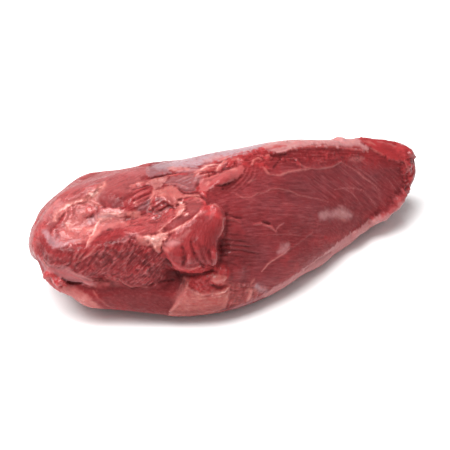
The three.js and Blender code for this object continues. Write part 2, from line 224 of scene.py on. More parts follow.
LOBE_MARKS = [
    line("torn bits above the hollow", [(84, 198), (90, 196), (94, 191), (97, 188)], 4, rise=0.7, pink=0.7,
         torn=0.9, fat=0.2),
    line("white bit above the hollow", [(93, 194), (96, 190)], 2.4, silver=0.4, rise=0.5),
    line("edge of the outer skin", [(66, 199), (76, 191), (84, 189), (94, 188), (104, 183), (112, 179)], 2,
         ledge=0.6),
    line("dark below the outer skin", [(72, 195), (80, 193), (88, 192)], 5, dark=0.25, bright=0.3, torn=0.4),
    # A painted sheen on the pale left side.
    line("painted sheen on the left side", [(42, 220), (50, 210), (62, 203)], 9, pink=0.7, silver=0.12, torn=0.3),
    # The paler top: partly its thin skin, partly a painted sheen.
    line("pale skin and painted sheen on the top", [(80, 186), (110, 175), (145, 170)], 16, pink=0.5, silver=0.1),
    line("rough top", [(64, 198), (84, 184), (110, 178), (140, 176)], 12, torn=0.28),
    line("red flecks", [(32, 232), (36, 223), (42, 213), (50, 204)], 5, bright=0.7, torn=0.7),
    line("second red flecks", [(32, 246), (36, 238), (41, 229), (47, 219)], 5, bright=0.5, torn=0.7),
    line("torn wall of the blunt end", [(40, 232), (46, 224), (54, 218)], 5, torn=0.7),
    line("dark muscle above the dip", [(99, 202), (108, 198), (118, 195)], 13, dark=0.35, pink=-0.7,
         bright=0.2),
    line("speckles above the dip", [(108, 192), (118, 196), (126, 198)], 8, torn=0.3),
    line("shade at the dip's edge", [(102, 207), (110, 209), (120, 206), (126, 200)], 2.6, dark=0.45,
         rise=-0.3),
    line("bulge under the crescent", [(46, 254), (56, 258), (66, 256)], 13, dark=0.25, bright=0.3, pink=-0.8,
         torn=-0.3),
    line("shade under the crescent", [(48, 249), (56, 252.5), (64, 251.5), (72, 248)], 2.6, rise=-0.3,
         dark=0.4),
    line("line under the bulge", [(44, 258), (50, 265), (60, 266), (70, 262)], 1.4, rise=0.4, pink=0.6),
    line("first thread", [(88, 244), (83, 251), (77, 262)], 1.2, rise=0.25, fat=0.3, pink=0.4),
    line("second thread", [(81, 246), (77, 253), (73, 260)], 1.1, rise=0.2, fat=0.2, pink=0.4),
    line("third thread", [(98, 245), (90, 254), (79, 262)], 1.2, rise=0.3, fat=0.35, pink=0.4),
    line("fourth thread", [(104, 251), (97, 260), (92, 265)], 1.1, rise=0.2, pink=0.5),
    line("first groove", [(92, 245), (86, 253), (80, 260)], 1.5, rise=-0.4, dark=0.5),
    line("second groove", [(102, 246), (94, 257), (88, 266)], 1.5, rise=-0.4, dark=0.5),
    line("third groove", [(76, 247), (72, 254), (70, 262)], 1.5, rise=-0.4, dark=0.5),
]
FOLD_MARKS = [
    area("skin over the fold", [(46, 262), (54, 266), (66, 266), (78, 274), (92, 279), (96, 286), (84, 284),
         (70, 281), (58, 278), (50, 273)], 1.6, silver=0.18, pink=0.4, torn=-0.4),
    line("pale skin at the left edge", [(38, 256), (42, 263), (47, 271), (54, 277)], 3.4, silver=0.5,
         pink=0.5),
    line("red streak in the skin", [(50, 268), (60, 272), (72, 276), (84, 281)], 2.4, bright=0.6,
         silver=-0.6),
    line("white glint of the skin", [(43, 261), (48, 268)], 1.6, fat=0.8, wet=0.6),
    line("red edge of the blunt end", [(30, 232), (28, 242), (30, 252), (35, 260)], 4, bright=0.9, torn=0.7),
    line("lower rim of the skin", [(56, 277), (66, 280), (76, 281)], 1.3, silver=0.7, rise=0.3),
    line("thread over the fold", [(66, 269), (78, 275), (90, 279), (104, 279), (112, 277)], 1.3, fat=0.45,
         rise=0.3),
    line("second thread over the fold", [(80, 278), (88, 283), (96, 287)], 1.2, fat=0.4, rise=0.3),
    area("red scrap in the fold", [(43, 270), (50, 272), (58, 277), (66, 282), (69, 287), (62, 289),
         (54, 286), (47, 280)], 1.4, bright=1, pink=-1, silver=-1, torn=0.6, wet=0.4),
    line("pink in the scrap", [(53, 281), (57, 284)], 2, pink=0.6),
    line("red rim of the scrap", [(45, 274), (52, 279), (58, 283), (63, 287)], 6, bright=1, pink=-1,
         silver=-1, wet=-0.6),
    line("slit of the fold", [(62, 278.5), (68, 282), (75, 283.5), (82, 283.5)], 1.9, rise=-1.2, dark=0.95),
    line("end of the slit", [(82, 283), (90, 285)], 1.3, rise=-0.3, dark=0.3),
    line("line on from the fold", [(109, 276), (119, 279), (124, 283), (132, 287), (146, 287)], 1.5, fat=0.4,
         ledge=0.7),
    area("pale triangle", [(108, 277), (118, 280), (120, 286), (108, 287)], 1.5, pink=0.3, torn=-0.5),
    line("seam over the lower lobe", [(132, 288), (146, 286), (160, 282), (174, 280)], 1.8, rise=-0.8,
         dark=0.35),
    area("pale pad", [(59, 288), (68, 286), (76, 287), (84, 292), (90, 297), (96, 303), (104, 309), (92, 310),
         (76, 306), (64, 297)], 2, fat=0.45, pink=0.5, torn=-0.6),
    line("bright rim of the pad", [(61, 290), (70, 299), (80, 304), (92, 307)], 3, fat=0.7),
    line("shade over the pad", [(78, 287), (88, 291), (95, 297), (100, 303)], 5, bright=0.3, dark=0.25,
         fat=-0.8, pink=-0.6),
    line("shade in the pad", [(76, 292), (84, 296), (90, 298)], 3, bright=0.4, dark=0.2, fat=-0.3),
    line("red streak in the pad", [(68, 289), (80, 290), (90, 293)], 1.6, bright=0.5, fat=-0.5),
    line("pale streak in the pad", [(72, 296), (82, 300), (94, 303)], 1.6, fat=0.8),
    line("edge of the pale pad", [(93, 291), (99, 299), (107, 305), (112, 307)], 1.4, fat=0.55, rise=0.4),
    line("smooth lower lobe", [(112, 294), (130, 299), (150, 302), (168, 300)], 15, dark=0.4),
]
DARK_MARKS = [
    line("rough dark meat", [(112, 250), (128, 256), (146, 262), (160, 272)], 20, torn=0.65, dark=0.2),
    line("darkest meat", [(98, 258), (107, 256), (112, 262)], 5, dark=0.55, rise=-0.6),
    # Painted shadow below the flap.
    line("dark behind the flap", [(166, 262), (172, 272), (182, 280)], 8, dark=0.8, rise=-1),
    line("dark above the pad", [(160, 290), (170, 284), (178, 276)], 6, dark=0.7),
    line("thread down the dark meat", [(124, 243), (119, 254), (112, 264)], 1.6, pink=0.4, rise=0.4),
    line("second thread", [(133, 248), (128, 258), (118, 268)], 1.4, pink=0.3, rise=0.4),
    line("lump in the dark meat", [(140, 268), (146, 272)], 6, rise=0.9, bright=0.2),
    line("second lump", [(152, 262), (154, 268)], 5, rise=0.8),
    line("third lump", [(124, 262), (126, 270)], 5, rise=0.8),
    line("fourth lump", [(138, 255), (143, 259)], 4, rise=0.7),
    area("fat left of the flap", [(142, 238), (147, 234.5), (153, 236), (158, 232.5), (164, 232.5),
         (168, 234), (165, 240), (162, 246), (160, 252), (156, 250), (152, 244), (147, 241)], 1, fat=0.8,
         lift=1.4, torn=0.5),
    line("white of the fat", [(146, 237.5), (153, 239), (159, 238)], 3.6, fat=1, rise=0.6),
    line("fat drip", [(152, 243), (156, 248), (158, 251)], 2.6, fat=0.9, rise=0.8),
]
DIP_MARKS = [
    area("wet dip", [(122, 219), (134, 216), (150, 214), (164, 212), (172, 210), (174, 214), (166, 221),
         (158, 230), (148, 234), (132, 233), (122, 227)], 2, bright=0.4, pink=0.25, wet=0.8, torn=0.3,
         even=6),
    line("folds", [(128, 222), (142, 219), (158, 216)], 2.2, rise=0.5, pink=0.4),
    line("dark folds", [(126, 226), (140, 224), (156, 222)], 2.2, rise=-0.5, dark=0.3),
    line("glint", [(137, 219), (146, 217.5)], 1.3, fat=0.7, wet=1),
    area("pale scrap", [(126, 216), (129, 212), (138, 210.5), (142, 213), (140, 217), (130, 218)],
         1, fat=0.45, lift=0.7),
    line("sinew", [(124, 232), (134, 234), (144, 231)], 1.6, pink=0.7, rise=0.4),
    line("purple patch", [(139, 210), (144, 206), (150, 201)], 5, dark=0.4, silver=0.3),
    line("first strand", [(131, 199), (139, 194.5), (148, 190.5)], 1.8, rise=0.4, pink=0.5),
    line("second strand", [(134, 203), (141, 199.5), (152, 195)], 1.8, rise=0.5, pink=0.5),
    line("third strand", [(136, 206.5), (143, 203), (151, 199)], 1.6, rise=0.6, pink=0.4, silver=0.2),
    line("fourth strand", [(150, 209), (157, 203.5), (163, 200)], 1.8, rise=0.35, pink=0.5),
    line("fifth strand", [(151, 215), (158, 209), (166, 205)], 1.8, rise=0.3, pink=0.4),
    line("sixth strand", [(155, 219), (162, 212.5), (168, 209.5)], 1.8, rise=0.3, pink=0.4),
    line("first groove", [(130, 196.5), (140, 190.5), (150, 186.5)], 1.6, rise=-0.5, dark=0.7),
    line("second groove", [(133, 201), (141, 196.8), (151, 192.5)], 1.3, rise=-0.6, dark=0.7),
    line("third groove", [(149, 206), (156, 200.5), (161, 197.5)], 1.3, rise=-0.6, dark=0.7),
    line("fourth groove", [(150, 212), (158, 206), (167, 202)], 1.5, rise=-0.35, dark=0.6),
    line("fifth groove", [(156, 214), (163, 208.5), (170, 206)], 1.3, rise=-0.25, dark=0.4),
    line("glints on the strands", [(133.5, 202), (137, 203.8)], 1.5, fat=0.9, wet=1),
    line("glistening flesh", [(148, 218), (155, 217), (162, 213)], 9, pink=0.5, torn=0.8, wet=0.8),
    line("glistening flesh at the left", [(124, 221), (134, 222), (144, 226)], 8, pink=0.3, torn=0.7,
         wet=0.8),
    line("orange red flesh", [(164, 216), (169, 211.5), (173, 209.5)], 4, bright=1),
    line("pink lump", [(137, 184.5), (143, 183)], 3.8, rise=1.3, fat=0.6),
    line("second pink lump", [(131, 187), (134, 185.5)], 3, rise=0.8, fat=0.4),
    line("shade below the lumps", [(132, 190), (142, 187), (150, 184.5)], 1.8, rise=-0.9, dark=0.8),
]
FAT_MARKS = [
    area("pale membrane", [(146, 184), (152, 180.5), (160, 178), (168, 176.5), (166, 181), (162, 186),
         (158, 188.5), (155, 190), (153, 186), (150, 184.5)], 0.9, fat=0.5, silver=0.3, lift=0.8, torn=-0.6),
    line("bright rim", [(146, 183.5), (152, 180), (160, 178), (169, 176), (178, 174)], 1.4, fat=0.75,
         rise=0.4),
    line("streak below the membrane", [(154.5, 187), (153.5, 193), (153, 199)], 1.8, fat=0.65, rise=0.4),
    line("second streak below", [(158, 189), (156.5, 194), (156, 198)], 1.6, fat=0.6, rise=0.4),
    area("violet membrane", [(164, 183), (172, 177), (182, 175.5), (190, 174), (197, 174), (198, 182),
         (196, 190), (190, 192), (182, 190), (176, 185), (168, 184.5)], 1.5, silver=0.26, dark=0.4, torn=-0.7,
         fat=0.1, pink=0.2),
    line("tan in the membrane", [(184, 178), (191, 176), (198, 176)], 2.4, fat=0.35, dark=-0.3),
    line("violet fold", [(166, 183), (173, 180.5), (181, 180)], 1.6, rise=0.4, silver=0.4, dark=-0.3),
    line("red below the fold", [(170, 184), (178, 182), (187, 182)], 1.4, bright=0.5, rise=-0.3),
    line("purple of the membrane", [(170, 182), (177, 179), (184, 177)], 3.6, dark=0.5, silver=-0.4),
    line("grey thread", [(177, 184.5), (186, 180.5), (193, 177.5)], 1.1, silver=0.85, dark=-0.6),
    line("second grey thread", [(181, 187), (188, 183.5), (195, 180.5)], 1.1, silver=0.85, dark=-0.6),
    line("third grey thread", [(174, 182.5), (182, 178.8), (190, 175.8)], 1, silver=0.7, dark=-0.6),
    line("red line", [(163, 176.3), (174, 174.6), (186, 174)], 1.5, bright=0.9, rise=0.3),
    line("tan ridge", [(165, 185), (174, 183.6), (182, 185.5), (190, 188.5)], 2.4, fat=0.42, rise=0.7),
    line("brown hollow", [(181, 188.5), (187, 190), (194, 189.5)], 3.6, dark=0.5, fat=0.15, rise=-0.8),
    line("gap by the hollow", [(179, 189.5), (184, 193), (190, 193.2), (198, 192)], 1.5, dark=0.9, rise=-0.8),
    area("peach chunk", [(158, 191), (163, 188), (170, 186), (176, 186.5), (179, 190), (184, 195),
         (191, 194.5), (199, 194), (201, 197), (192, 197.5), (184, 198.5), (178, 200), (177, 204),
         (175.5, 208), (171, 205), (166, 201), (160, 198)], 1.6, fat=0.42, bright=0.2, pink=0.2, lift=1.2,
         torn=-0.5, dark=-1),
    line("tail of the chunk", [(160, 190), (156, 194), (152, 200), (150, 206)], 3.4, fat=0.45, pink=0.5),
    line("fold on the chunk", [(166, 187.5), (171, 193), (176, 200)], 1.6, rise=0.4, fat=0.6),
    line("shade on the chunk", [(168, 190), (172, 196), (174, 203)], 3, bright=0.5, fat=-0.5, rise=-0.3),
    line("light on the chunk", [(180, 196.3), (190, 195.3), (199, 195.3)], 1.6, fat=0.8),
    line("second light on the chunk", [(164, 190), (170, 188.3), (175, 189)], 1.4, fat=0.75),
    line("pale end of the chunk", [(161, 189.5), (160.5, 193), (162, 197)], 3, fat=0.75),
    line("pocket under the chunk", [(163, 202), (169, 205.5), (174, 209)], 3, rise=-0.6, dark=0.7, fat=-1),
    area("white column", [(178, 201.5), (183, 202), (186, 206), (184, 211), (181, 215), (175, 217.5),
         (176, 211), (178, 207)], 1.4, fat=0.7, lift=1, torn=0.3, pink=0.3),
    line("white edge of the column", [(179, 202), (184, 203), (184, 209), (180, 214)], 1.8, fat=1, wet=0.6),
    line("roll over the window", [(184, 200.5), (192, 198.8), (200, 199.5), (204, 203)], 3, bright=0.9,
         rise=1, wet=0.8, fat=-0.6),
    line("glint on the roll", [(193.5, 198), (198, 199)], 1.8, fat=0.9, wet=1),
    area("window", [(187, 204), (190, 202), (196, 201.5), (200, 202), (202, 206), (199, 210), (195, 213),
         (191, 214), (188, 210), (186, 207)], 0.9, fat=-1, torn=-1, pink=0.25, dark=0.15, even=12),
    line("red beside the window", [(204, 202), (205, 207), (201, 212)], 2.8, bright=1, wet=0.7, rise=0.6),
    area("purple sliver", [(162, 231), (167, 226), (174, 220), (181, 217), (188, 216), (191, 216), (190, 220),
         (184, 225), (178, 228), (170, 232), (164, 233)], 0.9, fat=-1, bright=0.25, dark=0.35, pink=0.1,
         lift=-0.6),
    line("white edge above the sliver", [(160, 230), (166, 224.5), (173, 219.5), (178, 216.5)], 1.5, fat=0.85,
         rise=0.5),
    line("glint by the window", [(185, 215.3), (188, 213.5)], 1.9, fat=0.95, wet=1, rise=0.3),
    line("second glint by the window", [(195.5, 217), (198, 214)], 2, fat=1, wet=1, rise=0.4),
]
RIDGE_MARKS = [
    area("silver patch", [(147, 166), (152, 165.5), (168, 163), (172, 166), (168, 170), (172, 172.5),
         (160, 174.5), (150, 177), (147, 174), (146, 170)], 1, silver=0.4, dark=0.3, pink=0.2, lift=0.5),
    line("light across the patch", [(152, 168), (160, 166.5), (170, 164.5)], 1.6, silver=0.8, dark=-0.6),
    line("dark across the patch", [(153, 171), (161, 169), (169, 168)], 1.8, dark=0.4, silver=-0.3),
    line("red showing in the patch", [(156, 173.5), (163, 172)], 1.8, bright=0.5, silver=-0.5),
    line("glint at the patch's end", [(148, 167), (148.5, 172)], 2.2, silver=1, fat=0.5, wet=1),
    line("violet of the patch", [(150, 174), (158, 172.5), (165, 171)], 3, dark=0.4),
    line("cut under the patch", [(148, 178.5), (156, 176.8), (165, 175), (176, 173.8)], 1.6, rise=-1,
         dark=0.95, silver=-0.9),
    area("peach streak", [(166, 167.5), (174, 166.5), (183, 167), (190, 168), (189, 170.5), (180, 171.5),
         (170, 171.5)], 1.2, fat=0.5, bright=0.2, rise=0.3),
    area("silver along the crown", [(150, 166), (170, 161), (190, 157), (210, 153), (230, 148), (250, 144),
         (268, 141), (286, 138), (270, 145), (250, 151), (236, 155), (222, 158), (210, 162), (196, 166),
         (178, 169), (160, 171)], 2.5, silver=0.85, pink=0.4, wet=0.3),
    line("pale crest", [(232, 149), (248, 145.5), (264, 143), (276, 141)], 4, fat=0.45, pink=0.8),
    line("first tan lump", [(195, 175.5), (201, 172.5)], 4, fat=0.55, silver=-1),
    line("second tan lump", [(202, 171), (206, 169), (213, 167)], 4, fat=0.6, bright=0.3),
    line("glint on the tan lump", [(202, 168), (207, 167)], 1.8, fat=0.85, wet=0.8),
    line("third tan lump", [(198, 177.5), (205, 175), (211, 173.5)], 3, fat=0.5, bright=0.4),
    line("gap under the tan lumps", [(200, 173.8), (207, 172.6), (214, 171.5), (219, 172)], 1.3, dark=0.7,
         rise=-0.6, fat=-1),
    line("grey hollow", [(193, 183), (196, 180), (199, 177)], 3.6, dark=0.35, silver=0.35, fat=0.2),
    line("dark edge of the strip", [(199, 179), (197, 184), (194, 189)], 1.5, dark=0.8, rise=-0.6),
    line("fat knot", [(217, 170), (218.5, 166), (222.5, 162.5), (227, 160.5)], 3, fat=0.85),
    line("white end of the knot", [(217, 169), (218.5, 166)], 2.4, fat=1, wet=1),
    line("red behind the knot", [(212, 163), (220, 158.5), (230, 157)], 4.2, bright=0.9, torn=0.4),
    line("red lumps", [(227, 166), (231, 162), (240, 161), (246, 164)], 4.5, bright=0.8, wet=0.3),
    line("gap beside the knot", [(222, 170.5), (225, 166), (228, 162)], 1.4, rise=-0.8, dark=0.9),
    line("pocket beside the knot", [(224, 169.5), (230, 168)], 2, rise=-0.8, dark=0.8, bright=0.6),
    line("gap between the red lumps", [(234, 166), (235, 161)], 1.2, rise=-0.6, dark=0.6),
    line("pale lines on the lumps", [(236, 160), (242, 158.5)], 1.2, fat=0.5),
    line("red crest", [(234, 155), (246, 152), (256, 150), (266, 147.5), (278, 145)], 4.6, bright=1, rise=0.8,
         wet=0.4),
    area("smooth skin of the strip", [(199, 180), (207, 177), (216, 174), (224, 171), (232, 168.5),
         (243, 165), (245, 169), (243, 174), (234, 180), (228, 184), (220, 184), (212, 188), (204, 192),
         (199, 192)], 1, torn=-1, bright=0.35, pink=0.4, wet=0.2, lift=0.9, even=14),
    line("light along the strip", [(202, 180), (210, 178.5), (220, 174.5), (230, 171)], 1.8, fat=0.4,
         rise=0.5),
    line("pale end of the strip", [(231, 170), (237, 168.5)], 3, fat=0.75, rise=0.4, wet=0.8),
    line("glint on the strip", [(206.5, 185.5), (208.5, 183.5)], 2.4, fat=0.95, wet=1),
    line("shade below the strip", [(216, 185.5), (223, 185.8), (231, 183)], 2, rise=-1, dark=0.9),
    # Painted shadow below the strip's lower edge.
    line("painted shadow under the strip", [(210, 190), (218, 188.5), (226, 188)], 5, dark=0.4),
    line("dark spot", [(222, 189.5), (224.5, 188.5)], 2, dark=0.9, rise=-0.6),
    line("red knob by the window", [(202, 192), (205, 196)], 3.8, rise=1.2, bright=0.9, wet=0.4),
    line("glint on the knob", [(202, 190.5), (204, 191)], 1.6, fat=0.9, wet=1),
    line("first curved fibre", [(246, 168), (242, 176), (234, 184), (226, 190)], 0.9, rise=-0.2, dark=0.3),
    line("second curved fibre", [(250, 167), (247, 176), (239, 185), (230, 191)], 0.9, rise=-0.2, dark=0.25),
    line("third curved fibre", [(254, 166), (252, 176), (244, 185), (235, 192)], 0.9, rise=-0.3, dark=0.3),
    line("fourth curved fibre", [(258, 168), (257, 176), (250, 184), (242, 190)], 0.9, rise=-0.3, dark=0.25),
    line("pale curved fibre", [(248, 168), (244, 177), (236, 185), (228, 190)], 0.9, rise=0.15, pink=0.25),
    line("second pale curved fibre", [(252, 168), (249, 177), (241, 186), (233, 192)], 0.9, rise=0.15,
         pink=0.2),
    line("third pale curved fibre", [(256, 167), (254, 177), (247, 185)], 0.9, rise=0.15, pink=0.2),
    line("pale torn arch", [(251.5, 165), (253.5, 160.5), (258, 158), (261.5, 160)], 1.6, fat=0.55, rise=0.8),
    line("torn patch beside the crest", [(256, 164), (262, 165), (267, 167)], 6, torn=0.5, bright=0.7),
    line("pale drip", [(264, 168), (267, 172), (270, 175)], 2, fat=0.5, rise=0.6),
    line("red tear in the crest", [(261, 156), (266, 159), (271, 158)], 3, bright=1, rise=1, wet=0.4),
    line("pale spot in the tear", [(266, 156.5), (269.5, 154.5)], 2.4, fat=0.6, rise=0.4),
    line("dark end of the face", [(272, 155), (278, 156), (285, 154)], 4, dark=0.8, rise=-0.8),
    line("dark strands of the end", [(274, 168), (278, 162), (282, 157)], 2.4, dark=0.6, rise=-0.5),
]
FACE_MARKS = [
    area("pale rind", [(262, 146), (270, 142), (282, 137), (310, 135), (340, 136), (352, 137), (359, 141),
         (365, 146), (369, 150), (360, 149), (350, 147.5), (325, 146), (306, 146), (290, 148.5), (279, 152),
         (268, 150)], 2.4, fat=0.6, pink=0.8, silver=0.9, torn=-1, dark=-1),
    line("rind's lower edge", [(362, 150), (345, 148), (325, 147), (306, 147), (290, 149), (279, 152)], 2.2,
         ledge=1.1, fat=0.3),
    line("shade under the rind", [(283, 153), (300, 149.5), (325, 149.5), (350, 151)], 2.2, dark=0.45),
    line("red on the crest", [(310, 138), (322, 138), (333, 139)], 2.4, bright=0.7, rise=0.5),
    line("red nub on the crest", [(282, 143), (287, 142)], 3.2, bright=0.8, rise=0.8),
    line("torn band below the rind", [(280, 162), (300, 157), (320, 157), (345, 158), (362, 156)], 9,
         torn=0.45, bright=0.15, dark=0.2),
    line("knob in the torn band", [(296, 160), (300, 165)], 4, rise=0.8, bright=0.3),
    line("upper seam", [(300, 165), (306, 168), (316, 169), (326, 168), (334, 166), (341, 162)], 1.5,
         fat=0.12, pink=0.5, ledge=0.5),
    line("seam across the top", [(341, 162), (348, 166), (356, 171), (364, 178), (372, 183), (379, 190)], 0.9,
         fat=0.2, pink=0.55, ledge=0.25),
    line("left end of the upper seam", [(271, 175), (280, 175), (288, 172), (300, 170), (310, 169)], 1.4,
         fat=0.25, pink=0.7, ledge=0.4),
    line("main seam", [(236, 194), (243, 198), (251, 197), (258, 193), (264, 193), (270, 189), (279, 188.5),
         (290, 191), (298, 195), (307, 197), (318, 199), (328, 202)], 1, fat=0.12, pink=0.4, ledge=0.3),
    line("first slanting fibre", [(313, 180), (322, 186), (330, 193), (336, 198)], 0.7, pink=0.35),
    line("second slanting fibre", [(322, 176), (332, 183), (343, 192)], 0.7, pink=0.3),
    line("third slanting fibre", [(338, 166), (348, 174), (358, 183), (366, 190)], 0.7, pink=0.35),
    line("fourth slanting fibre", [(330, 172), (342, 180), (354, 190)], 0.7, pink=0.4),
    line("fifth slanting fibre", [(352, 164), (362, 171), (374, 180), (384, 190)], 0.7, pink=0.35),
    line("level fibre", [(334, 190), (344, 188), (353, 188), (362, 190)], 0.8, pink=0.6),
    line("branch of the level fibre", [(344, 188), (352, 193), (358, 200)], 0.9, pink=0.5),
    line("fibre by the blotch", [(330, 203), (342, 206), (352, 212)], 0.9, pink=0.4),
    line("fibre towards the tip", [(371, 186), (377, 192), (381, 199)], 0.8, pink=0.45),
    line("second fibre towards the tip", [(362, 190), (370, 198), (377, 208)], 0.8, pink=0.4),
    line("third fibre towards the tip", [(384, 176), (390, 182), (396, 190)], 0.7, pink=0.4),
    line("fourth fibre towards the tip", [(392, 176), (397, 184), (400, 190)], 0.7, pink=0.4),
    line("first long fibre", [(268, 203), (290, 204), (312, 209)], 0.9, pink=0.3),
    line("second long fibre", [(275, 214), (300, 216), (322, 222)], 0.9, pink=0.25),
    line("third long fibre", [(262, 236), (285, 234), (308, 236)], 0.9, pink=0.25),
    line("brushed blotch", [(321, 216), (328, 214), (338, 213), (350, 216)], 7.5, silver=0.5, fat=0.35),
    line("blotch's corner", [(340, 218), (346, 220)], 3, fat=0.35),
    line("low blotch", [(279, 252), (284, 249), (289, 245)], 5, silver=0.4, fat=0.3),
    line("low seam", [(262, 271), (268, 264), (275, 259), (283, 254), (289, 249)], 1.2, fat=0.45, pink=0.8,
         ledge=0.3),
    line("crease by the seam", [(254, 225), (262, 224), (270, 227), (276, 232)], 1.3, pink=0.7, ledge=0.9),
    line("dark of the crease", [(262, 222), (270, 224)], 2.2, dark=0.8, rise=-1.2),
    line("small seam", [(275, 231), (279, 226), (284, 223)], 1.1, pink=0.6),
    line("bright line", [(249, 182), (256, 179)], 1.3, fat=0.4),
    line("long low edge", [(289, 250), (300, 242), (312, 233)], 1.6, ledge=0.25, pink=0.1),
    line("faint red low", [(325, 238), (332, 240), (340, 236)], 5, bright=0.35),
    line("upper wrinkle", [(227, 214), (235, 218), (242, 218)], 1.4, rise=-0.8, dark=0.4),
    line("wrinkle above", [(222, 219), (234, 220), (240, 223)], 1.6, ledge=0.8, pink=0.25),
    line("first wrinkle", [(217, 241), (228, 240), (240, 241), (250, 243)], 1.2, rise=-0.7, dark=0.55),
    line("second wrinkle", [(218, 246), (229, 245), (241, 246), (250, 247)], 1.2, rise=-0.7, dark=0.55),
    line("third wrinkle", [(218, 250), (230, 250), (243, 251), (258, 254)], 1.2, rise=-0.7, dark=0.55),
    line("fourth wrinkle", [(219, 255), (231, 255), (243, 257)], 1.1, rise=-0.6, dark=0.5),
    line("fifth wrinkle", [(220, 260), (230, 262), (240, 266)], 1.1, rise=-0.5, dark=0.4),
    line("sixth wrinkle", [(226, 234), (236, 235), (247, 236)], 1, rise=-0.4, dark=0.35),
    line("shade right of the flap", [(226, 206), (228, 222), (222, 240), (220, 256)], 6, dark=0.5),
]
FLAP_MARKS = [
    line("front of the flap", [(178, 258), (190, 246), (202, 238), (212, 228)], 22, upright=1, bright=0.3,
         dark=0.25),
    line("white crest", [(162, 234.5), (170, 232), (176, 229), (184, 225), (192, 219.5), (197, 215)], 1.9,
         fat=0.95, rise=0.7),
    line("bright top of the flap", [(201, 212), (206, 207), (213, 206)], 4, bright=0.9, wet=0.4, rise=0.6),
    line("white rim of the top", [(208, 205), (214, 204), (219, 207)], 1.6, fat=0.55),
    line("white right edge", [(223, 220), (223, 228), (220, 236)], 1.4, fat=0.5, rise=0.4),
    line("left corner", [(163, 248), (168, 249), (174, 248)], 3.4, bright=0.7, fat=0.2),
    line("violet under the crest", [(170, 238), (180, 232), (191, 225)], 4.4, pink=0.3, torn=0.4),
    line("dark under the crest", [(168, 244), (176, 240), (184, 235), (192, 229)], 4, dark=0.3),
    line("flecks under the crest", [(168, 240), (176, 238), (182, 241)], 3, torn=0.8, pink=0.4),
    line("red lower left", [(166, 253), (170, 260), (178, 266)], 5, bright=0.55),
    line("red lower edge", [(172, 262), (178, 268), (188, 270), (200, 267)], 4, bright=0.9, rise=0.4),
    line("light on the lower edge", [(186, 268), (193, 268.5), (200, 266)], 1.6, fat=0.35, wet=0.5),
    line("red lower right", [(214, 250), (216, 258), (214, 264)], 3.2, bright=0.5),
    line("first crease", [(182, 248), (184.5, 256), (183, 265)], 4.4, rise=-1.3, dark=0.5, bright=0.4),
    line("core of the first crease", [(184, 257), (185.5, 261), (183, 265)], 1.8, rise=-0.5, dark=0.5),
    line("second crease", [(191, 242), (193, 251), (198, 260), (204, 268)], 2.8, rise=-1.1, dark=0.5,
         bright=0.3),
    line("core of the second crease", [(194, 253), (198, 261), (203, 267)], 1.1, rise=-0.5, dark=0.5),
    line("third crease", [(209, 250), (210, 258), (213, 267)], 2.6, rise=-1, dark=0.5, bright=0.3),
    line("fourth crease", [(200, 246), (202, 254), (206, 262)], 1.8, rise=-0.5, dark=0.3, bright=0.3),
    line("fifth crease", [(196, 232), (195, 240), (197, 246)], 1, rise=-0.4),
    line("sixth crease", [(206, 236), (205, 246), (208, 254)], 1, rise=-0.4, dark=0.3),
    line("ridge beside the first crease", [(188, 256), (190, 263)], 3, rise=1),
    line("finger of the lower edge", [(196, 256), (200, 264)], 2.6, rise=0.8),
    # The gaps under and right of the flap are darkened as a painted shadow of the flap.
    line("gap under the flap", [(166, 260), (172, 268), (180, 275), (192, 276), (203, 274), (212, 271)], 3,
         dark=0.6, rise=-1.4),
    line("gap right of the flap", [(227, 214), (228, 224), (226, 236), (222, 245), (222, 256), (220, 265)], 4,
         dark=0.5, rise=-0.6),
]
